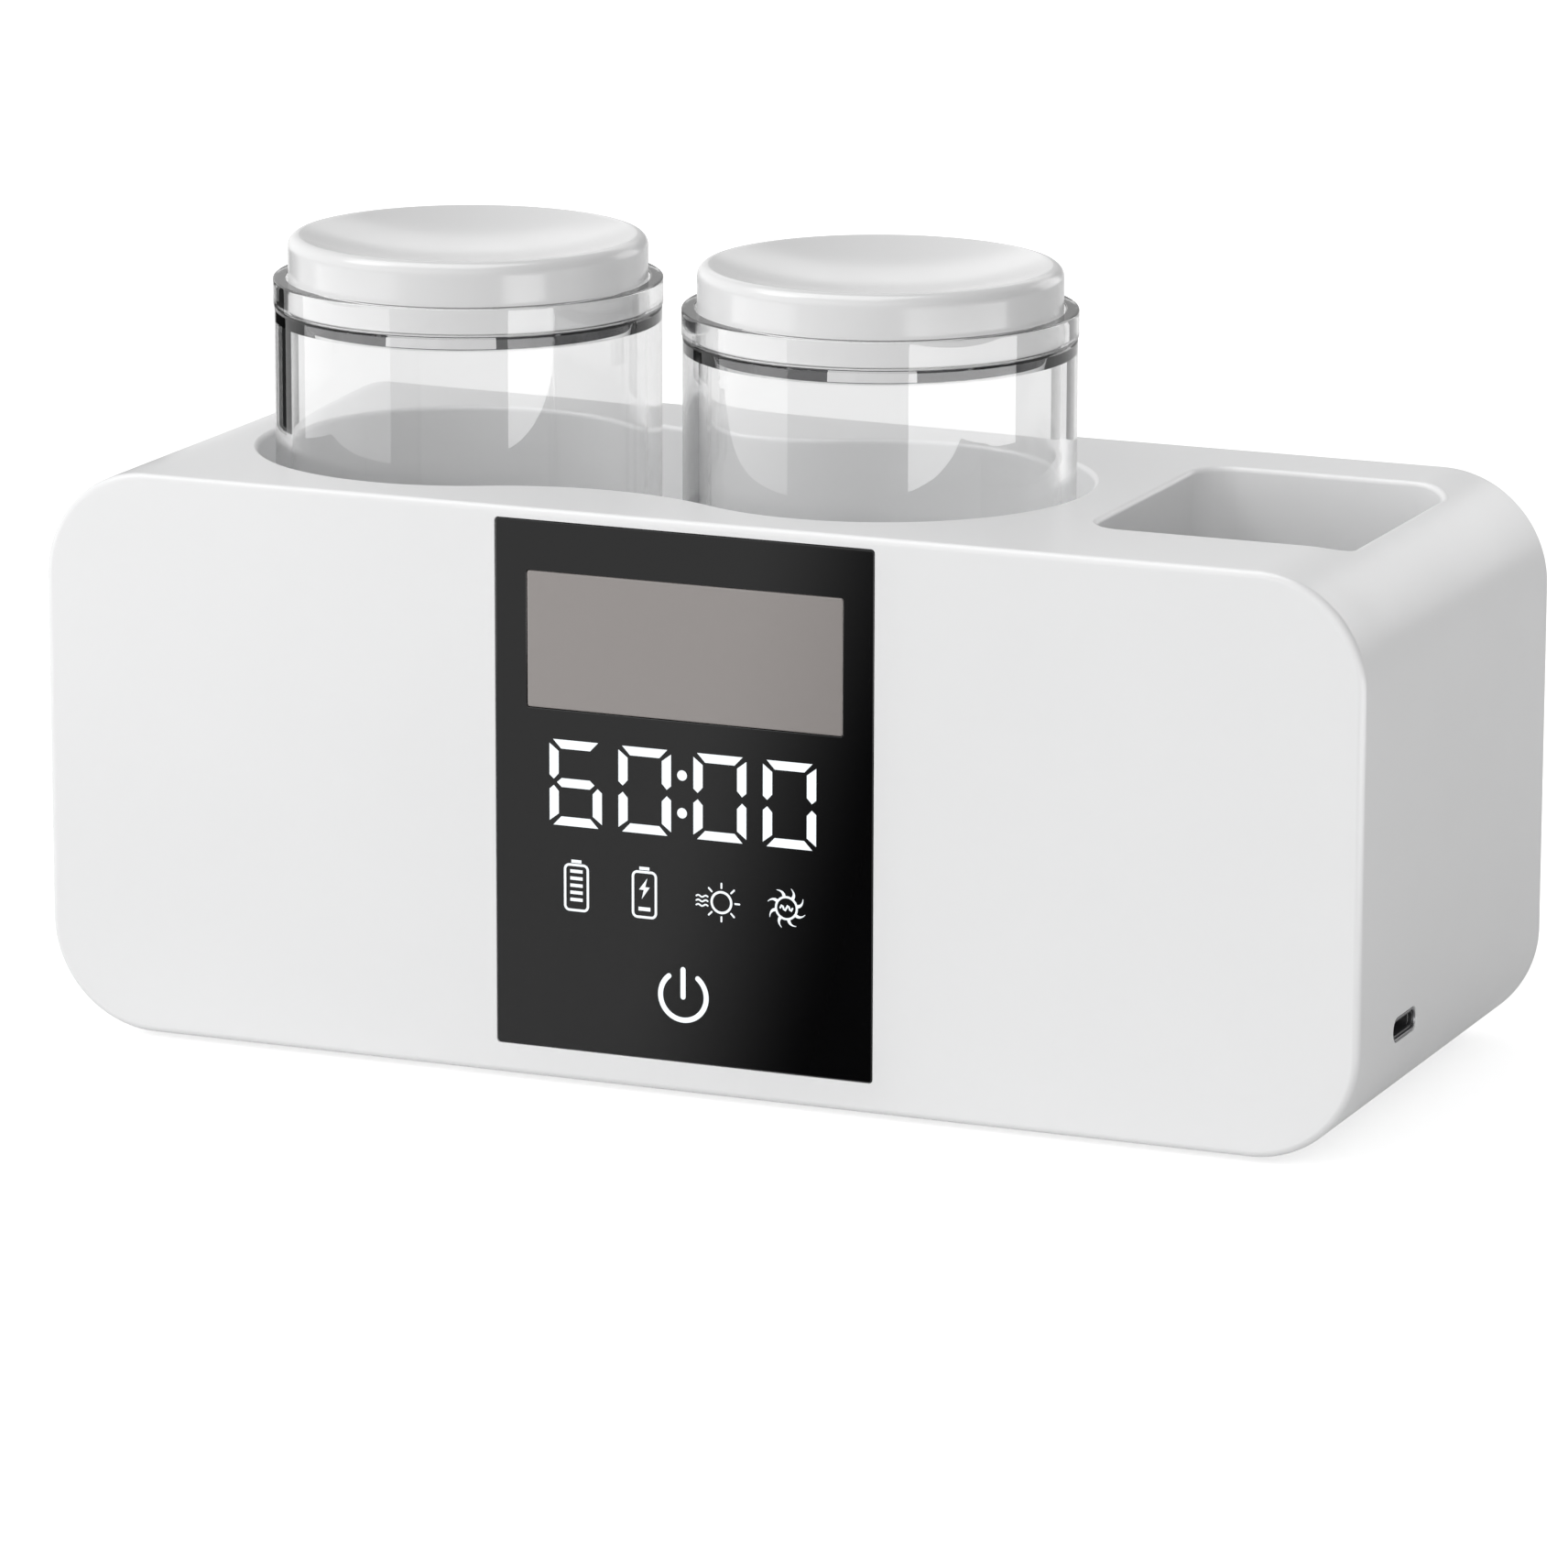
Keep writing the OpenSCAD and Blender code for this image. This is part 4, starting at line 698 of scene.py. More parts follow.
def make_tub():
    e_pts, e_nor = eight_outline(96, 40)
    z0 = WELL_Z - TUB_T
    rr = []
    for k in range(7):
        t = math.radians(90 * k / 6)
        rr.append(ring(e_pts, e_nor, TUB_T - 2.0 * (1 - math.sin(t)), z0 + 2.0 * (1 - math.cos(t))))
    rr.append(ring(e_pts, e_nor, TUB_T, TUB_TOP))
    tub = loft("well_liner", rr)
    ears = []
    for x, y in ((LEFT_X - 27.8, WELL_Y - 28), (LEFT_X - 27.8, WELL_Y + 28), (RIGHT_X + 27.8, WELL_Y - 28), (RIGHT_X + 27.8, WELL_Y + 28)):
        ears.append(cylinder("t", x, y, TUB_TOP - 2.2, TUB_TOP - 0.05, 3.4, 40))
        cx = LEFT_X if x < MID_X else RIGHT_X
        a = math.atan2(WELL_Y - y, cx - x)
        d, s = np.array((math.cos(a), math.sin(a))), np.array((-math.sin(a), math.cos(a)))
        q = [np.array((x, y)) + d * u + s * v for u, v in ((0, -2.6), (5.4, -2.6), (5.4, 2.6), (0, 2.6))]
        ears.append(loft("t", [np.array([(*p, z) for p in q]) for z in (TUB_TOP - 2.1, TUB_TOP - 0.2)]))
    for x in (LEFT_X, RIGHT_X):
        for s in (-1, 1):
            ears.append(cylinder("t", x, WELL_Y + s * 31.2, WELL_Z - 5.7, WELL_Z - 0.6, 2.6, 40))
    boolean(tub, join("t", ears), "UNION", True)
    rr = []
    for k in range(9):
        t = math.radians(90 * k / 8)
        rr.append(ring(e_pts, e_nor, -3.0 * (1 - math.sin(t)), WELL_Z + 3.0 * (1 - math.cos(t))))
    rr.append(ring(e_pts, e_nor, 0, TUB_TOP - 0.35))
    rr.append(ring(e_pts, e_nor, 0.1, TUB_TOP - 0.1))
    rr.append(ring(e_pts, e_nor, 0.35, TUB_TOP + 0.004))
    rr.append(ring(e_pts, e_nor, 0.4, TUB_TOP + 3))
    boolean(tub, loft("t", rr), "DIFFERENCE")
    cuts = [cylinder("t", x, WELL_Y, WELL_Z - 3, WELL_Z + 0.6, 26.1, 160) for x in (LEFT_X, RIGHT_X)]
    for i in (-1.5, -0.5, 0.5, 1.5):
        pts, nor = rr_outline(2, 9.4, 0.9999, 8, MID_X + 3.5 * i, 15.7)
        cuts.append(loft("t", [ring(pts, nor, 0, WELL_Z - 3), ring(pts, nor, 0, WELL_Z + 3)]))
    cuts.append(cylinder_y("t", MID_X, WELL_Z + 19, WELL_Y - 40, WELL_Y + 40, 5.05, 64))
    for x, y in ((LEFT_X - 27.8, WELL_Y - 28), (LEFT_X - 27.8, WELL_Y + 28), (RIGHT_X + 27.8, WELL_Y - 28), (RIGHT_X + 27.8, WELL_Y + 28)):
        cuts.append(cylinder("t", x, y, TUB_TOP - 4, TUB_TOP + 2, 1.5, 28))
    boolean(tub, join("t", cuts), "DIFFERENCE")
    tidy(tub)
    finish_mesh(tub, 32)
    return piece(tub, "base", "tub_white", ["well_tub"])


make_tub()


def make_cup():
    pts, nor = rr_outline(POCKET_W, POCKET_L, POCKET_R, 20, POCKET_X, POCKET_Y)
    rr = []
    for k in range(7):
        t = math.radians(90 * k / 6)
        rr.append(ring(pts, nor, 1.8 - 2.2 * (1 - math.sin(t)), POCKET_Z - 1.8 + 2.2 * (1 - math.cos(t))))
    rr += [ring(pts, nor, 1.8, POCKET_COLLAR - 2), ring(pts, nor, 3, POCKET_COLLAR - 2), ring(pts, nor, 3, POCKET_COLLAR + 3),
           ring(pts, nor, 1.9, POCKET_COLLAR + 3), ring(pts, nor, 1.9, POCKET_COLLAR), ring(pts, nor, 0.1, POCKET_COLLAR), ring(pts, nor, 0, POCKET_COLLAR - 0.1)]
    for k in range(9):
        t = math.radians(90 * k / 8)
        rr.append(ring(pts, nor, -3.5 * (1 - math.cos(t)), POCKET_Z + 3.5 * (1 - math.sin(t))))
    cup = loft("pocket_liner", rr)
    finish_mesh(cup, 40)
    # the liner gets a mid grey in place of its white slot: painted shade in the pocket
    return piece(cup, "base", "shell_white", ["pocket_cup"], material="pocket_shade_grey")


make_cup()

# ------------------------------------------------------------------ rear cover and feet


def make_rear():
    lo, hi = mm("rear_cover")
    w, h = hi[0] - lo[0], hi[2] - lo[2]
    pts, nor = rr_outline(w, h, R_CORNER - WALL - 0.2, 32, 0, ZC)
    y1 = hi[1]
    rr = [ring(pts, nor, 0, y1 - 2.2)]
    for k in range(7):
        t = math.radians(90 * k / 6)
        rr.append(ring(pts, nor, -0.6 * (1 - math.cos(t)), y1 - 0.6 * (1 - math.sin(t))))
    cover = loft("rear_panel", [along_y(r) for r in rr])
    bx, by, bz = 80, 11, 27
    posts = [cylinder_y("t", bx + x, bz - z, by + 16.4, 41.5, 2.7, 40) for x, z in ((-18, -18), (18.6, 17.6))]
    boolean(cover, join("t", posts), "UNION")
    seat = cylinder_y("t", bx, bz, BACK - 4.3, BACK - 2.7, 16.9, 96)
    boolean(seat, cylinder_y("t", bx, bz, BACK - 5, BACK - 2, 15.7, 96), "DIFFERENCE")
    boolean(cover, seat, "UNION")
    cuts = []
    for i in range(8):
        q = i - 3.5
        length = 2 * math.sqrt(15 * 15 - 16 * q * q)
        pts, nor = rr_outline(2, length, 0.9999, 10, bx + 4 * q, bz)
        prof = [(0, y1 - 5), (0, y1 - 0.4), (0.12, y1 - 0.12), (0.4, y1 + 0.004), (0.42, y1 + 2)]
        cuts.append(loft("t", [along_y(ring(pts, nor, g, y)) for g, y in prof]))
    for x, z in [(-97, ZT - 13), (97, ZT - 13), (-97, ZB + 13), (MID_X, ZB + 6.6), (MID_X, ZT - 8), (103.6, ZB + 31)]:
        t = np.linspace(0, 2 * math.pi, 56, endpoint=False)
        prof = [(1.5, y1 - 5), (1.5, BACK - 2), (2.7, BACK - 2), (2.7, y1 - 0.25), (2.78, y1 - 0.08), (2.96, y1 + 0.004), (3.0, y1 + 2)]
        cuts.append(loft("t", [along_y(np.column_stack([x + r * np.cos(t), z + r * np.sin(t), np.full(56, y)])) for r, y in prof]))
    for x, z in ((-18, -18), (18.6, 17.6)):
        cuts.append(cylinder_y("t", bx + x, bz - z, by + 16, by + 28, 1.2, 28))
    boolean(cover, join("t", cuts), "DIFFERENCE")
    tidy(cover)
    finish_mesh(cover, 32)
    return piece(cover, "base", "cover_white", ["rear_cover"])


make_rear()


def make_feet():
    lo, hi = mm("rubber_feet")
    z1 = hi[2]
    prof = soften([(0, 0.12), (3.6, 0.12), (3.9, 0), (5.4, 0), (6, 0.5), (6, z1), (0, z1)], {2: 0.3, 3: 0.5, 4: 0.4, 5: 0.15})
    feet = join("feet", [revolve("t", prof, x, y, 72) for x in (-82, 82) for y in (-30, 30)])
    finish_mesh(feet, 40)
    return piece(feet, "base", "rubber_grey", ["rubber_feet"])


make_feet()

# ------------------------------------------------------------------ front panel


def make_panel():
    gx, gz = (G0[0] + G1[0]) / 2, (G0[2] + G1[2]) / 2
    y0, y1 = G0[1], G1[1]
    pts, nor = rr_outline(G1[0] - G0[0], G1[2] - G0[2], 0.55, 8, gx, gz)
    prof = [(0, y1), (0, y0 + 0.22), (-0.03, y0 + 0.1), (-0.1, y0 + 0.03), (-0.22, y0)]
    glass = loft("glass_panel", [along_y(ring(pts, nor, g, y)) for g, y in prof])
    sx, sz = (S0[0] + S1[0]) / 2, (S0[2] + S1[2]) / 2
    pts, nor = rr_outline(S1[0] - S0[0] + 0.1, S1[2] - S0[2] + 0.1, 0.5, 8, sx, sz)
    prof = [(0, y1 + 1), (0, y0 + 0.15), (0.03, y0 + 0.05), (0.14, y0 - 0.003), (0.16, y0 - 1)]
    boolean(glass, loft("t", [along_y(ring(pts, nor, g, y)) for g, y in prof]), "DIFFERENCE")
    tidy(glass)
    finish_mesh(glass, 50)
    piece(glass, "base", "panel_black", ["panel_glass"])
    w0, w1 = S0[1], S1[1]
    pts, nor = rr_outline(S1[0] - S0[0], S1[2] - S0[2], 0.45, 8, sx, sz)
    prof = [(0, w1), (0, w0 + 0.3), (-0.04, w0 + 0.14), (-0.14, w0 + 0.04), (-0.3, w0)]
    pane = loft("status_pane", [along_y(ring(pts, nor, g, y)) for g, y in prof])
    finish_mesh(pane, 50)
    piece(pane, "base", "window_taupe", ["status_window"])


make_panel()


class Print:
    """Flat marks on the glass, each a thin raised plate drawn in (x, z)."""

    def __init__(self, name, y):
        self.name, self.y, self.parts = name, y, []

    def poly(self, pts, depth=0.018):
        a = np.array(pts, float)
        area = 0.5 * np.sum(a[:, 0] * np.roll(a[:, 1], -1) - np.roll(a[:, 0], -1) * a[:, 1])
        if area < 0:
            a = a[::-1]
        r = [np.column_stack([a[:, 0], np.full(len(a), self.y + 0.002), a[:, 1]]), np.column_stack([a[:, 0], np.full(len(a), self.y - depth), a[:, 1]])]
        self.parts.append(loft("t", r))

    def strip(self, path, w, closed=False, taper=None):
        """A line of width w along path, with round ends."""
        p = np.array(path, float)
        n = len(p)
        left, right = [], []
        for i in range(n):
            a = p[i - 1] if (closed or i) else p[i]
            b = p[(i + 1) % n] if (closed or i < n - 1) else p[i]
            t = (b - a) / np.linalg.norm(b - a)
            k = w / 2 * (taper[i] if taper else 1)
            left.append(p[i] + np.array((-t[1], t[0])) * k)
            right.append(p[i] - np.array((-t[1], t[0])) * k)
        if closed:
            y0, y1 = self.y + 0.002, self.y - 0.018
            lf, rt = np.array(left), np.array(right)
            r = [np.column_stack([q[:, 0], np.full(n, y), q[:, 1]]) for q, y in ((lf, y0), (lf, y1), (rt, y1), (rt, y0))]
            self.parts.append(loft("t", r, closed=True))
            return
        cap0, cap1 = [], []
        for k in range(1, 6):
            a = math.pi * k / 6
            t0, t1 = (p[1] - p[0]), (p[-1] - p[-2])
            t0, t1 = t0 / np.linalg.norm(t0), t1 / np.linalg.norm(t1)
            h0 = w / 2 * (taper[0] if taper else 1)
            h1 = w / 2 * (taper[-1] if taper else 1)
            s0, s1 = np.array((-t0[1], t0[0])), np.array((-t1[1], t1[0]))
            cap0.append(p[0] - s0 * h0 * math.cos(a) - t0 * h0 * math.sin(a))
            cap1.append(p[-1] + s1 * h1 * math.cos(a) + t1 * h1 * math.sin(a))
        self.poly(left + cap1 + right[::-1] + cap0)

    def dot(self, x, z, r, n=32):
        self.poly([(x + r * math.cos(2 * math.pi * i / n), z + r * math.sin(2 * math.pi * i / n)) for i in range(n)])

    def done(self, body="base", slot="light_guide"):
        ob = join(self.name, self.parts)
        outward(ob)
        finish_mesh(ob, 30, weighted=False)
        return piece(ob, body, slot, material="print_white")


def make_digits():
    y = G0[1]
    px = Print("timer_digits", y)
    w, h, t, v = 8.85, 13.6, 1.55, 1.42
    z0 = 41.8
    mid = h / 2
    segs = {
        "a": [(0.62, h), (w - 0.62, h), (w - t - 0.42, h - v), (t + 0.42, h - v)],
        "d": [(0.62, 0), (w - 0.62, 0), (w - t - 0.42, v), (t + 0.42, v)],
        "f": [(0, h - 0.66), (0, mid + 1.12), (0.72, mid + 0.5), (t, mid + 1.4), (t, h - v - 0.42)],
        "e": [(0, 0.66), (0, mid - 1.12), (0.72, mid - 0.5), (t, mid - 1.4), (t, v + 0.42)],
        "b": [(w, h - 0.66), (w, mid + 1.12), (w - 0.72, mid + 0.5), (w - t, mid + 1.4), (w - t, h - v - 0.42)],
        "c": [(w, 0.66), (w, mid - 1.12), (w - 0.72, mid - 0.5), (w - t, mid - 1.4), (w - t, v + 0.42)],
        "g": [(1.25, mid), (2.05, mid + 0.71), (w - 2.05, mid + 0.71), (w - 1.25, mid), (w - 2.05, mid - 0.71), (2.05, mid - 0.71)],
    }
    for x, on in ((-22.85, "afgecd"), (-11.2, "abcdef"), (1.4, "abcdef"), (13.0, "abcdef")):
        for s in on:
            px.poly([(x + u, z0 + v) for u, v in segs[s]])
    px.dot(-0.5, 51.6, 0.82)
    px.dot(-0.5, 45.65, 0.82)
    px.done()

    ic = Print("panel_icons", y)

    def frame_path(x0, x1, z0_, z1_, r):
        pts, _ = rr_outline(x1 - x0, z1_ - z0_, r, 6, (x0 + x1) / 2, (z0_ + z1_) / 2)
        return pts

    # full battery
    ic.strip(frame_path(-20.28, -16.42, 28.47, 35.68, 0.75), 0.40, closed=True)
    ic.poly([(-19.2, 36.0), (-17.5, 36.0), (-17.5, 36.5), (-19.2, 36.5)])
    for k in range(5):
        zc = 29.85 + k * 1.13
        ic.poly([(-19.4, zc + 0.04), (-17.3, zc + 0.04), (-17.3, zc + 0.56), (-19.4, zc + 0.56)])
    # charging battery
    ic.strip(frame_path(-8.78, -4.92, 28.5, 35.68, 0.75), 0.40, closed=True)
    ic.poly([(-7.7, 36.0), (-6.0, 36.0), (-6.0, 36.5), (-7.7, 36.5)])
    ic.poly([(-7.85, 29.5), (-5.85, 29.5), (-5.85, 30.1), (-7.85, 30.1)])
    ic.poly([(-6.35, 34.75), (-7.75, 32.85), (-6.95, 32.85), (-7.3, 31.35), (-5.95, 33.3), (-6.72, 33.3)])

    def circle(cx, cz, r, n=48, a0=0, a1=360):
        k = n if a1 - a0 >= 360 else n + 1
        return [(cx + r * math.cos(math.radians(a0 + (a1 - a0) * i / n)), cz + r * math.sin(math.radians(a0 + (a1 - a0) * i / n))) for i in range(k)]

    # sun with air lines
    cx, cz = 6.1, 32.13
    ic.strip(circle(cx, cz, 1.64), 0.38, closed=True)
    for a in (0, 45, 90, 135, 225, 270, 315):
        c, s = math.cos(math.radians(a)), math.sin(math.radians(a))
        ic.strip([(cx + 2.3 * c, cz + 2.3 * s), (cx + 3.0 * c, cz + 3.0 * s)], 0.29)
    for dz in (-0.72, 0, 0.72):
        ic.strip([(cx - 4.2 + 0.19 * i, cz + dz + 0.14 * math.sin(i * 0.95)) for i in range(11)], 0.26)
    # sun with curved rays, for the lamp
    cx, cz = 16.95, 32.33
    ic.strip(circle(cx, cz, 1.74), 0.35, closed=True)
    for k in range(8):
        a = math.radians(45 * k + 12)
        pts = []
        for i in range(6):
            q = i / 5
            r, da = 2.0 + 1.2 * q, 0.32 * q * q
            pts.append((cx + r * math.cos(a + da), cz + r * math.sin(a + da)))
        ic.strip(pts, 0.52, taper=[1, 0.9, 0.75, 0.55, 0.35, 0.18])
    ic.strip([(cx - 1.0 + 0.2 * i, cz + 0.42 * math.sin(i * 1.257)) for i in range(11)], 0.3)
    # power
    ic.strip([(-0.35, 16.45), (-0.35, 20.8)], 0.86)
    ic.strip(circle(-0.3, 16.6, 3.85, 56, 90 + 39, 450 - 39), 0.84)
    ic.done()


make_digits()

# ------------------------------------------------------------------ charging port details


def make_contacts():
    lo, hi = mm("usb_tongue")
    zc = (lo[2] + hi[2]) / 2
    parts = []
    for s in (-1, 1):
        for i in range(12):
            y = USB_Y - 2.75 + 0.5 * i
            z = zc + s * ((hi[2] - lo[2]) / 2)
            pts, nor = rr_outline(3.2, 0.28, 0.1, 3, hi[0] - 2.4, y)
            za, zb_ = sorted((z - s * 0.01, z + s * 0.02))
            parts.append(loft("t", [ring(pts, nor, 0, za), ring(pts, nor, 0, zb_)]))
    ob = join("usb_contacts", parts)
    finish_mesh(ob, 30, weighted=False)
    return piece(ob, "base", "steel", material="gold")


make_contacts()


def stadium(w, h, n=14):
    """Outline (y, z) of a slot with round ends, w along y."""
    return rr_outline(w, h, h / 2 - 0.01, n, USB_Y, USB_Z)


# rim, black gasket and black liner of the port: their darkness is painted shade, so the opening reads as a black slot
def make_mouth():
    out = X1 - 0.22
    pts, nor = stadium(10.72, 3.72)
    deep = (10.72 - 9.6) / 2
    rr = [ring(pts, nor, 0, X1 - 1.16), ring(pts, nor, 0, out - 0.16), ring(pts, nor, -0.05, out - 0.05), ring(pts, nor, -0.16, out),
          ring(pts, nor, 0.10 - 0.40, out), ring(pts, nor, -0.38, out - 0.06), ring(pts, nor, -0.43, out - 0.18), ring(pts, nor, -0.43, X1 - 1.16)]
    rim = loft("port_rim", [along_x(r) for r in rr], closed=True)
    finish_mesh(rim, 40)
    piece(rim, "base", "steel", material="port_rim_shade_grey")
    pts, nor = stadium(9.82, 2.82)
    rr = [ring(pts, nor, 0, X1 - 1.15), ring(pts, nor, 0, X1 - 0.62), ring(pts, nor, -0.08, X1 - 0.54), ring(pts, nor, -0.30, X1 - 0.54),
          ring(pts, nor, -0.36, X1 - 0.60), ring(pts, nor, -0.36, X1 - 1.15)]
    mask = loft("port_shade_gasket", [along_x(r) for r in rr], closed=True)
    finish_mesh(mask, 40)
    piece(mask, "base", "duct_black")
    pts, nor = stadium(8.30, 2.56)
    rr = [ring(pts, nor, 0, X1 - 7.2), ring(pts, nor, 0, X1 - 1.14), ring(pts, nor, -0.12, X1 - 1.12), ring(pts, nor, -0.12, X1 - 7.2)]
    liner = loft("port_shade_liner", [along_x(r) for r in rr], closed=True)
    finish_mesh(liner, 40)
    piece(liner, "base", "duct_black")


make_mouth()

# ------------------------------------------------------------------ jars and lids


def make_jar(name, cx, body, node):
    r, rr, z0, z1 = JAR_R + 0.17, RIM_R, JAR_Z, RIM_Z
    prof = [(0, z0 + 1.2), (15.6, z0 + 1.2)] + arc(17.0, z0 + 0.9, 0.9, 120, 30, 3)[1:3] + [(18.6, z0)]
    prof += arc(r - 3, z0 + 3, 3, -90, 0, 12)
    up = soften([(r, z0 + 3.2), (r, z1 - 4.85), (r - 0.25, z1 - 4.6), (r - 0.25, z1 - 4.42), (rr, z1 - 4.15), (rr, z1 - 1.2)],
                {1: 0.12, 2: 0.08, 3: 0.08, 4: 0.12})
    prof += up
    prof += arc(rr - 0.3, z1 - 0.3, 0.3, 0, 90, 6)
    prof += soften([(rr - 0.6, z1), (MOUTH_R + 0.02, z1), (MOUTH_R, z1 - 1.0)], {1: 0.25})
    prof += soften([(MOUTH_R, z1 - 1.1), (MOUTH_R, PLUG_Z), (BORE_R, SEAL_Z), (BORE_R, SEAL_Z - 4)], {1: 0.22, 2: 0.35})
    prof += arc(BORE_R - 5, z0 + 8.4, 5, 0, -90, 18)
    prof += [(0, z0 + 3.4)]
    clean = [prof[0]]
    for p in prof[1:]:
        if math.hypot(p[0] - clean[-1][0], p[1] - clean[-1][1]) > 1e-4:
            clean.append(p)
    ob = revolve(name, clean, cx, WELL_Y, 288)
    finish_mesh(ob, 34)
    ob.visible_shadow = ob.visible_diffuse = False  # clear wall: the light goes through to what stands behind
    return piece(ob, body, "jar_clear", [node])


def make_lid(side, cx, body):
    e, rd = 1.9, LID_R - 1.9
    dish = 4.6
    prof = soften([(LID_R - 2.2, PLUG_Z), (LID_R, PLUG_Z), (LID_R, LID_Z - e - 0.3)], {1: 0.15})
    prof += arc(LID_R - e, LID_Z - e, e, 4, 90, 14)
    n = 48
    prof += [(rd * (1 - i / n), LID_Z - dish * (1 - (1 - i / n) ** 2.2)) for i in range(1, n + 1)]
    prof += [(0, LID_Z - dish - 2), (rd * 0.6, LID_Z - dish - 1.6), (LID_R - 2.2, LID_Z - dish - 0.4)]
    cap = revolve(side + "_lid_top", prof, cx, WELL_Y, 256)
    finish_mesh(cap, 34)
    cap.visible_shadow = False
    piece(cap, body, "lid_white", [side + "_lid_cap"])
    z, s = PLUG_Z, SEAL_Z
    base = soften([(0, z - 1.2), (LID_R - 2.6, z - 1.2), (LID_R - 2.6, s + 0.3), (LID_R - 1.4, s + 0.3), (LID_R - 1.4, z - 0.05), (LID_R - 2.3, z - 0.05),
                   (LID_R - 2.3, z + 1.6), (LID_R - 3.6, z + 1.6), (LID_R - 3.6, z), (0, z)], {1: 0.4, 2: 0.3, 3: 0.3, 6: 0.3, 7: 0.3})
    ob = revolve(side + "_lid_plug", base, cx, WELL_Y, 224)
    finish_mesh(ob, 34)
    ob.visible_shadow = False
    piece(ob, body, "lid_white", [side + "_lid_base"])
    so = BORE_R - 0.12
    seal = soften([(LID_R - 1.35, z - 0.45), (LID_R - 1.35, s + 0.02), (so - 0.5, s + 0.02), (so, s + 0.3), (so, z - 0.75), (so + 0.2, z - 0.45)],
                  {1: 0.1, 2: 0.12, 3: 0.12, 4: 0.12, 5: 0.06})
    ob = revolve(side + "_lid_ring", seal, cx, WELL_Y, 224)
    finish_mesh(ob, 34)
    # pale strip let into the ring: a painted reflection, the light band seen through the jar wall; its span differs
    # between the two jars
    t = np.radians(np.linspace(-91.5 if cx < 0 else -84.0, -56.5, 41))
    rings_ = []
    for a_ in t:
        c_, s_ = math.cos(a_), math.sin(a_)
        rings_.append(np.array([(cx + r_ * c_, WELL_Y + r_ * s_, z_) for r_, z_ in ((so - 0.3, s + 0.32), (so + 0.04, s + 0.32), (so + 0.06, s + 0.36), (so + 0.06, z - 0.86), (so + 0.04, z - 0.82), (so - 0.3, z - 0.82))]))
    reflection_strip = loft(side + "_lid_reflection_strip", rings_)
    finish_mesh(reflection_strip, 34)
    reflection_strip.visible_shadow = False
    piece(reflection_strip, body, "silicone_clear", material="reflection_pale")
    ob.visible_shadow = False
    # the seal ring gets a near-black material in place of its clear silicone slot: painted shade for the dark band
    # under the lid
    piece(ob, body, "silicone_clear", [side + "_lid_seal"], material="seal_shade_black")


make_jar("left_jar_glass", LEFT_X, "left_jar", "left_jar")
make_jar("right_jar_glass", RIGHT_X, "right_jar", "right_jar")
make_lid("left", LEFT_X, "left_lid")
make_lid("right", RIGHT_X, "right_lid")

# ------------------------------------------------------------------ camera, floor, light

cam = bpy.data.objects.new("camera", bpy.data.cameras.new("camera"))
scene.collection.objects.link(cam)
cam.data.sensor_width = 36
cam.data.lens = 199.825
cam.data.clip_end = 20
r2, u2, back = Vector((0.921228, 0.389018, 0.002227)), Vector((-0.091578, 0.211294, 0.973123)), Vector((0.378092, -0.896672, 0.230275))
m = Matrix((r2, u2, back)).transposed().to_4x4()
m.translation = Vector((0.51971, -1.23734, 0.35834))
cam.matrix_world = m
scene.camera = cam

scene.view_settings.view_transform = "Standard"
scene.view_settings.look = "None"


def stage_material(name, color=(0.93, 0.93, 0.93), glow=0.0, strength=1.0, rough=0.7):
    """Matt studio surface that can also glow a little."""
    mt = bpy.data.materials.new(name)
    mt.use_nodes = True
    b = mt.node_tree.nodes["Principled BSDF"]
    b.inputs["Base Color"].default_value = (*color, 1)
    b.inputs["Roughness"].default_value = rough
    b.inputs["Specular IOR Level"].default_value = 0.0
    if glow:
        b.inputs["Emission Color"].default_value = (glow, glow, glow, 1)
        b.inputs["Emission Strength"].default_value = strength
    return mt


floor = new_object("floor", [(-7, -7, 0), (7, -7, 0), (7, 7, 0), (-7, 7, 0)], [(0, 1, 2, 3)])
floor_material = stage_material("floor", (0.70, 0.70, 0.70), 1.0)
# the floor is brighter to the eye than the light it sends back, so the background stays clean
fl = floor_material.node_tree
path = fl.nodes.new("ShaderNodeLightPath")
lift = fl.nodes.new("ShaderNodeMath")
lift.operation = "MULTIPLY"
lift.inputs[1].default_value = 0.68
either = fl.nodes.new("ShaderNodeMath")
either.operation = "SUBTRACT"
either.inputs[0].default_value = 1.0
fl.links.new(path.outputs["Is Diffuse Ray"], either.inputs[1])
fl.links.new(either.outputs[0], lift.inputs[0])
less = fl.nodes.new("ShaderNodeMath")
less.operation = "MULTIPLY_ADD"
less.inputs[1].default_value = -0.34
fl.links.new(path.outputs["Is Glossy Ray"], less.inputs[0])
fl.links.new(lift.outputs[0], less.inputs[2])
fl.links.new(less.outputs[0], fl.nodes["Principled BSDF"].inputs["Emission Strength"])
floor.data.materials.append(floor_material)


def card(name, a, b, z0, z1, material, camera=False, diffuse=False, glossy=True, transmission=True):
    """Upright studio card between two floor points, in millimetres. It is out of the picture and only shows in reflections."""
    ob = new_object(name, [(a[0], a[1], z0), (b[0], b[1], z0), (b[0], b[1], z1), (a[0], a[1], z1)], [(0, 1, 2, 3)])
    ob.data.transform(Matrix_scale)
    ob.data.materials.append(material)
    ob.visible_camera, ob.visible_diffuse, ob.visible_glossy, ob.visible_transmission = camera, diffuse, glossy, transmission
    ob.visible_shadow = False
    ob.visible_volume_scatter = False
    return ob


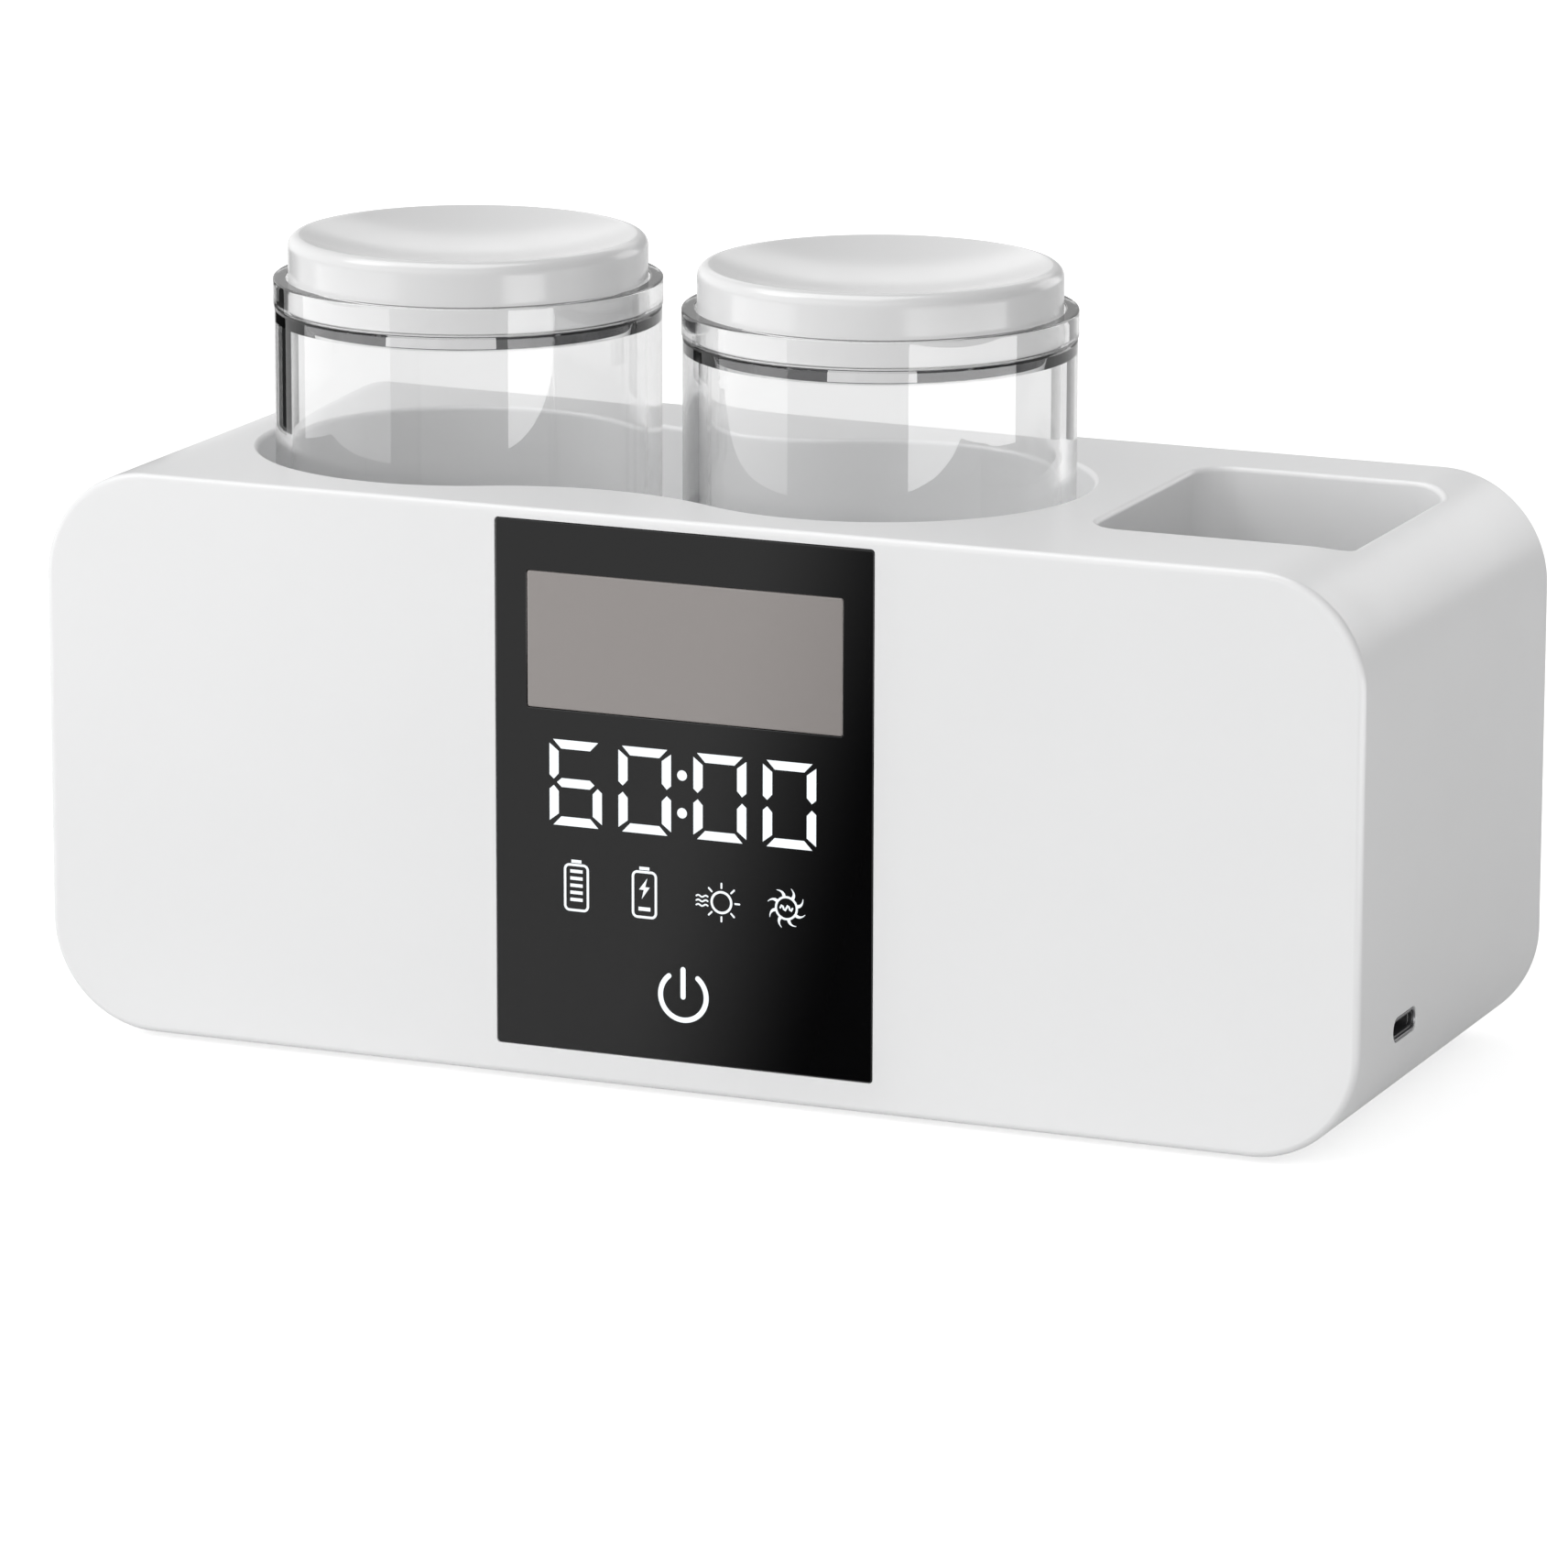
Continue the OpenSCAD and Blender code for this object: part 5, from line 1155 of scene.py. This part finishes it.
def fade_material(name, level, x0, x1, slant=0.0, axis=0):
    """Glow that fades to nothing across the card, from x0 (clear) to x1 (full), in metres."""
    mt = bpy.data.materials.new(name)
    mt.use_nodes = True
    nt = mt.node_tree
    nt.nodes.clear()
    o = nt.nodes.new("ShaderNodeOutputMaterial")
    e = nt.nodes.new("ShaderNodeEmission")
    e.inputs[0].default_value = (level, level, level, 1)
    t = nt.nodes.new("ShaderNodeBsdfTransparent")
    mx = nt.nodes.new("ShaderNodeMixShader")
    tc = nt.nodes.new("ShaderNodeTexCoord")
    sp = nt.nodes.new("ShaderNodeSeparateXYZ")
    nt.links.new(tc.outputs["Object"], sp.inputs[0])
    ma = nt.nodes.new("ShaderNodeMath")
    ma.operation = "MULTIPLY_ADD"
    nt.links.new(sp.outputs["Z"], ma.inputs[0])
    ma.inputs[1].default_value = slant
    nt.links.new(sp.outputs["XYZ"[axis]], ma.inputs[2])
    r = nt.nodes.new("ShaderNodeMapRange")
    r.interpolation_type = "SMOOTHSTEP"
    r.inputs["From Min"].default_value = x0
    r.inputs["From Max"].default_value = x1
    nt.links.new(ma.outputs[0], r.inputs["Value"])
    nt.links.new(r.outputs["Result"], mx.inputs[0])
    nt.links.new(t.outputs[0], mx.inputs[1])
    nt.links.new(e.outputs[0], mx.inputs[2])
    nt.links.new(mx.outputs[0], o.inputs[0])
    return mt


def glow(name, level):
    mt = bpy.data.materials.new(name)
    mt.use_nodes = True
    nt = mt.node_tree
    nt.nodes.clear()
    o = nt.nodes.new("ShaderNodeOutputMaterial")
    e = nt.nodes.new("ShaderNodeEmission")
    e.inputs[0].default_value = (1, 1, 1, 1)
    e.inputs[1].default_value = level
    nt.links.new(e.outputs[0], o.inputs[0])
    return mt


# bright cards to the right front and left front, seen in the jars
card("light_card", (200, -240), (330, 80), 4, 75, glow("light_card", 6.0), transmission=False)
card("left_card", (-170, -311), (-386, -30), 4, 75, glow("left_card", 3.0), transmission=False)
# small dark and grey cards behind, seen at the edges of the jars
card("dark_card", (-139, 50), (-166, 18), 52, 112, glow("dark_card", 0.02))
card("grey_card", (29, 102), (60, 102), 62, 108, glow("grey_card", 0.22), glossy=False)
# soft boxes overhead and behind, for the thin lights on the rounded edges
card("back_card", (85, 385), (285, 325), 100, 335, glow("back_card", 2.6), transmission=False)
card("back_high", (-270, 345), (85, 385), 250, 370, glow("back_high", 1.5), transmission=False)
top_card = new_object("top_card", [(-520, -330, 650), (140, -330, 650), (140, 130, 650), (-520, 130, 650)], [(0, 1, 2, 3)])
top_card.data.transform(Matrix_scale)
top_card.data.materials.append(glow("top_card", 3.6))
top_card.visible_camera = top_card.visible_diffuse = top_card.visible_transmission = False
top_card.visible_shadow = top_card.visible_volume_scatter = False
# dark flag close to the front, seen in the glass panel only
card("front_flag", (-40, -52), (30.5, -52), -20, 87.5, fade_material("front_flag", 0.0, -0.0177, 0.0163, -0.26), transmission=False)


def sun(name, direction, strength, angle):
    ld = bpy.data.lights.new(name, "SUN")
    ld.energy, ld.angle = strength, math.radians(angle)
    ob = bpy.data.objects.new(name, ld)
    scene.collection.objects.link(ob)
    ob.rotation_euler = Vector(direction).to_track_quat("Z", "Y").to_euler()
    return ob


# direction, angle across, strength
SUNS = {
    "left": ((-0.62, -0.30, 0.73), 25, 0.23),
    "back_right": ((0.45, 0.75, 0.48), 35, 0.01),
}
for name_, (direction_, angle_, strength_) in SUNS.items():
    if strength_:
        sun(name_, direction_, strength_ * math.pi, angle_)


def area(name, loc, target, size, power):
    ld = bpy.data.lights.new(name, "AREA")
    ld.energy = power
    ld.shape = "DISK"
    ld.size = size
    ob = bpy.data.objects.new(name, ld)
    scene.collection.objects.link(ob)
    ob.location = loc
    ob.rotation_euler = (Vector(target) - Vector(loc)).to_track_quat("-Z", "Y").to_euler()
    return ob


FILL = 0.0
if FILL:
    area("fill", (-0.32, -0.22, 0.46), (-0.03, 0, 0.09), 0.28, FILL)

# the studio round the object: an even part, and broad soft lobes along the axes
EVEN = 0.32
LOBES = {"X+": 0.0, "X-": 0.88, "Y+": 0.29, "Y-": 1.11, "Z+": 0.0}
SEEN = 1.0
world = bpy.data.worlds.new("world")
scene.world = world
world.use_nodes = True
nt = world.node_tree
nt.nodes.clear()
wo = nt.nodes.new("ShaderNodeOutputWorld")
seen, lit = nt.nodes.new("ShaderNodeBackground"), nt.nodes.new("ShaderNodeBackground")
seen.inputs[0].default_value = (1, 1, 1, 1)
seen.inputs[1].default_value = SEEN
lit.inputs[0].default_value = (1, 1, 1, 1)
wt = nt.nodes.new("ShaderNodeTexCoord")
ws = nt.nodes.new("ShaderNodeSeparateXYZ")
nt.links.new(wt.outputs["Generated"], ws.inputs[0])
total = None
for key_, strength_ in LOBES.items():
    r_ = nt.nodes.new("ShaderNodeMapRange")
    r_.interpolation_type = "SMOOTHSTEP"
    nt.links.new(ws.outputs[key_[0]], r_.inputs["Value"])
    sign_ = 1 if key_[1] == "+" else -1
    r_.inputs["From Min"].default_value, r_.inputs["From Max"].default_value = 0.25 * sign_, 0.95 * sign_
    r_.inputs["To Min"].default_value, r_.inputs["To Max"].default_value = 0.0, strength_
    add = nt.nodes.new("ShaderNodeMath")
    add.operation = "ADD"
    nt.links.new(r_.outputs["Result"], add.inputs[0])
    if total is None:
        add.inputs[1].default_value = EVEN
    else:
        nt.links.new(total, add.inputs[1])
    total = add.outputs[0]
nt.links.new(total, lit.inputs[1])
lp = nt.nodes.new("ShaderNodeLightPath")
mx = nt.nodes.new("ShaderNodeMixShader")
nt.links.new(lp.outputs["Is Camera Ray"], mx.inputs[0])
nt.links.new(lit.outputs[0], mx.inputs[1])
nt.links.new(seen.outputs[0], mx.inputs[2])
nt.links.new(mx.outputs[0], wo.inputs[0])
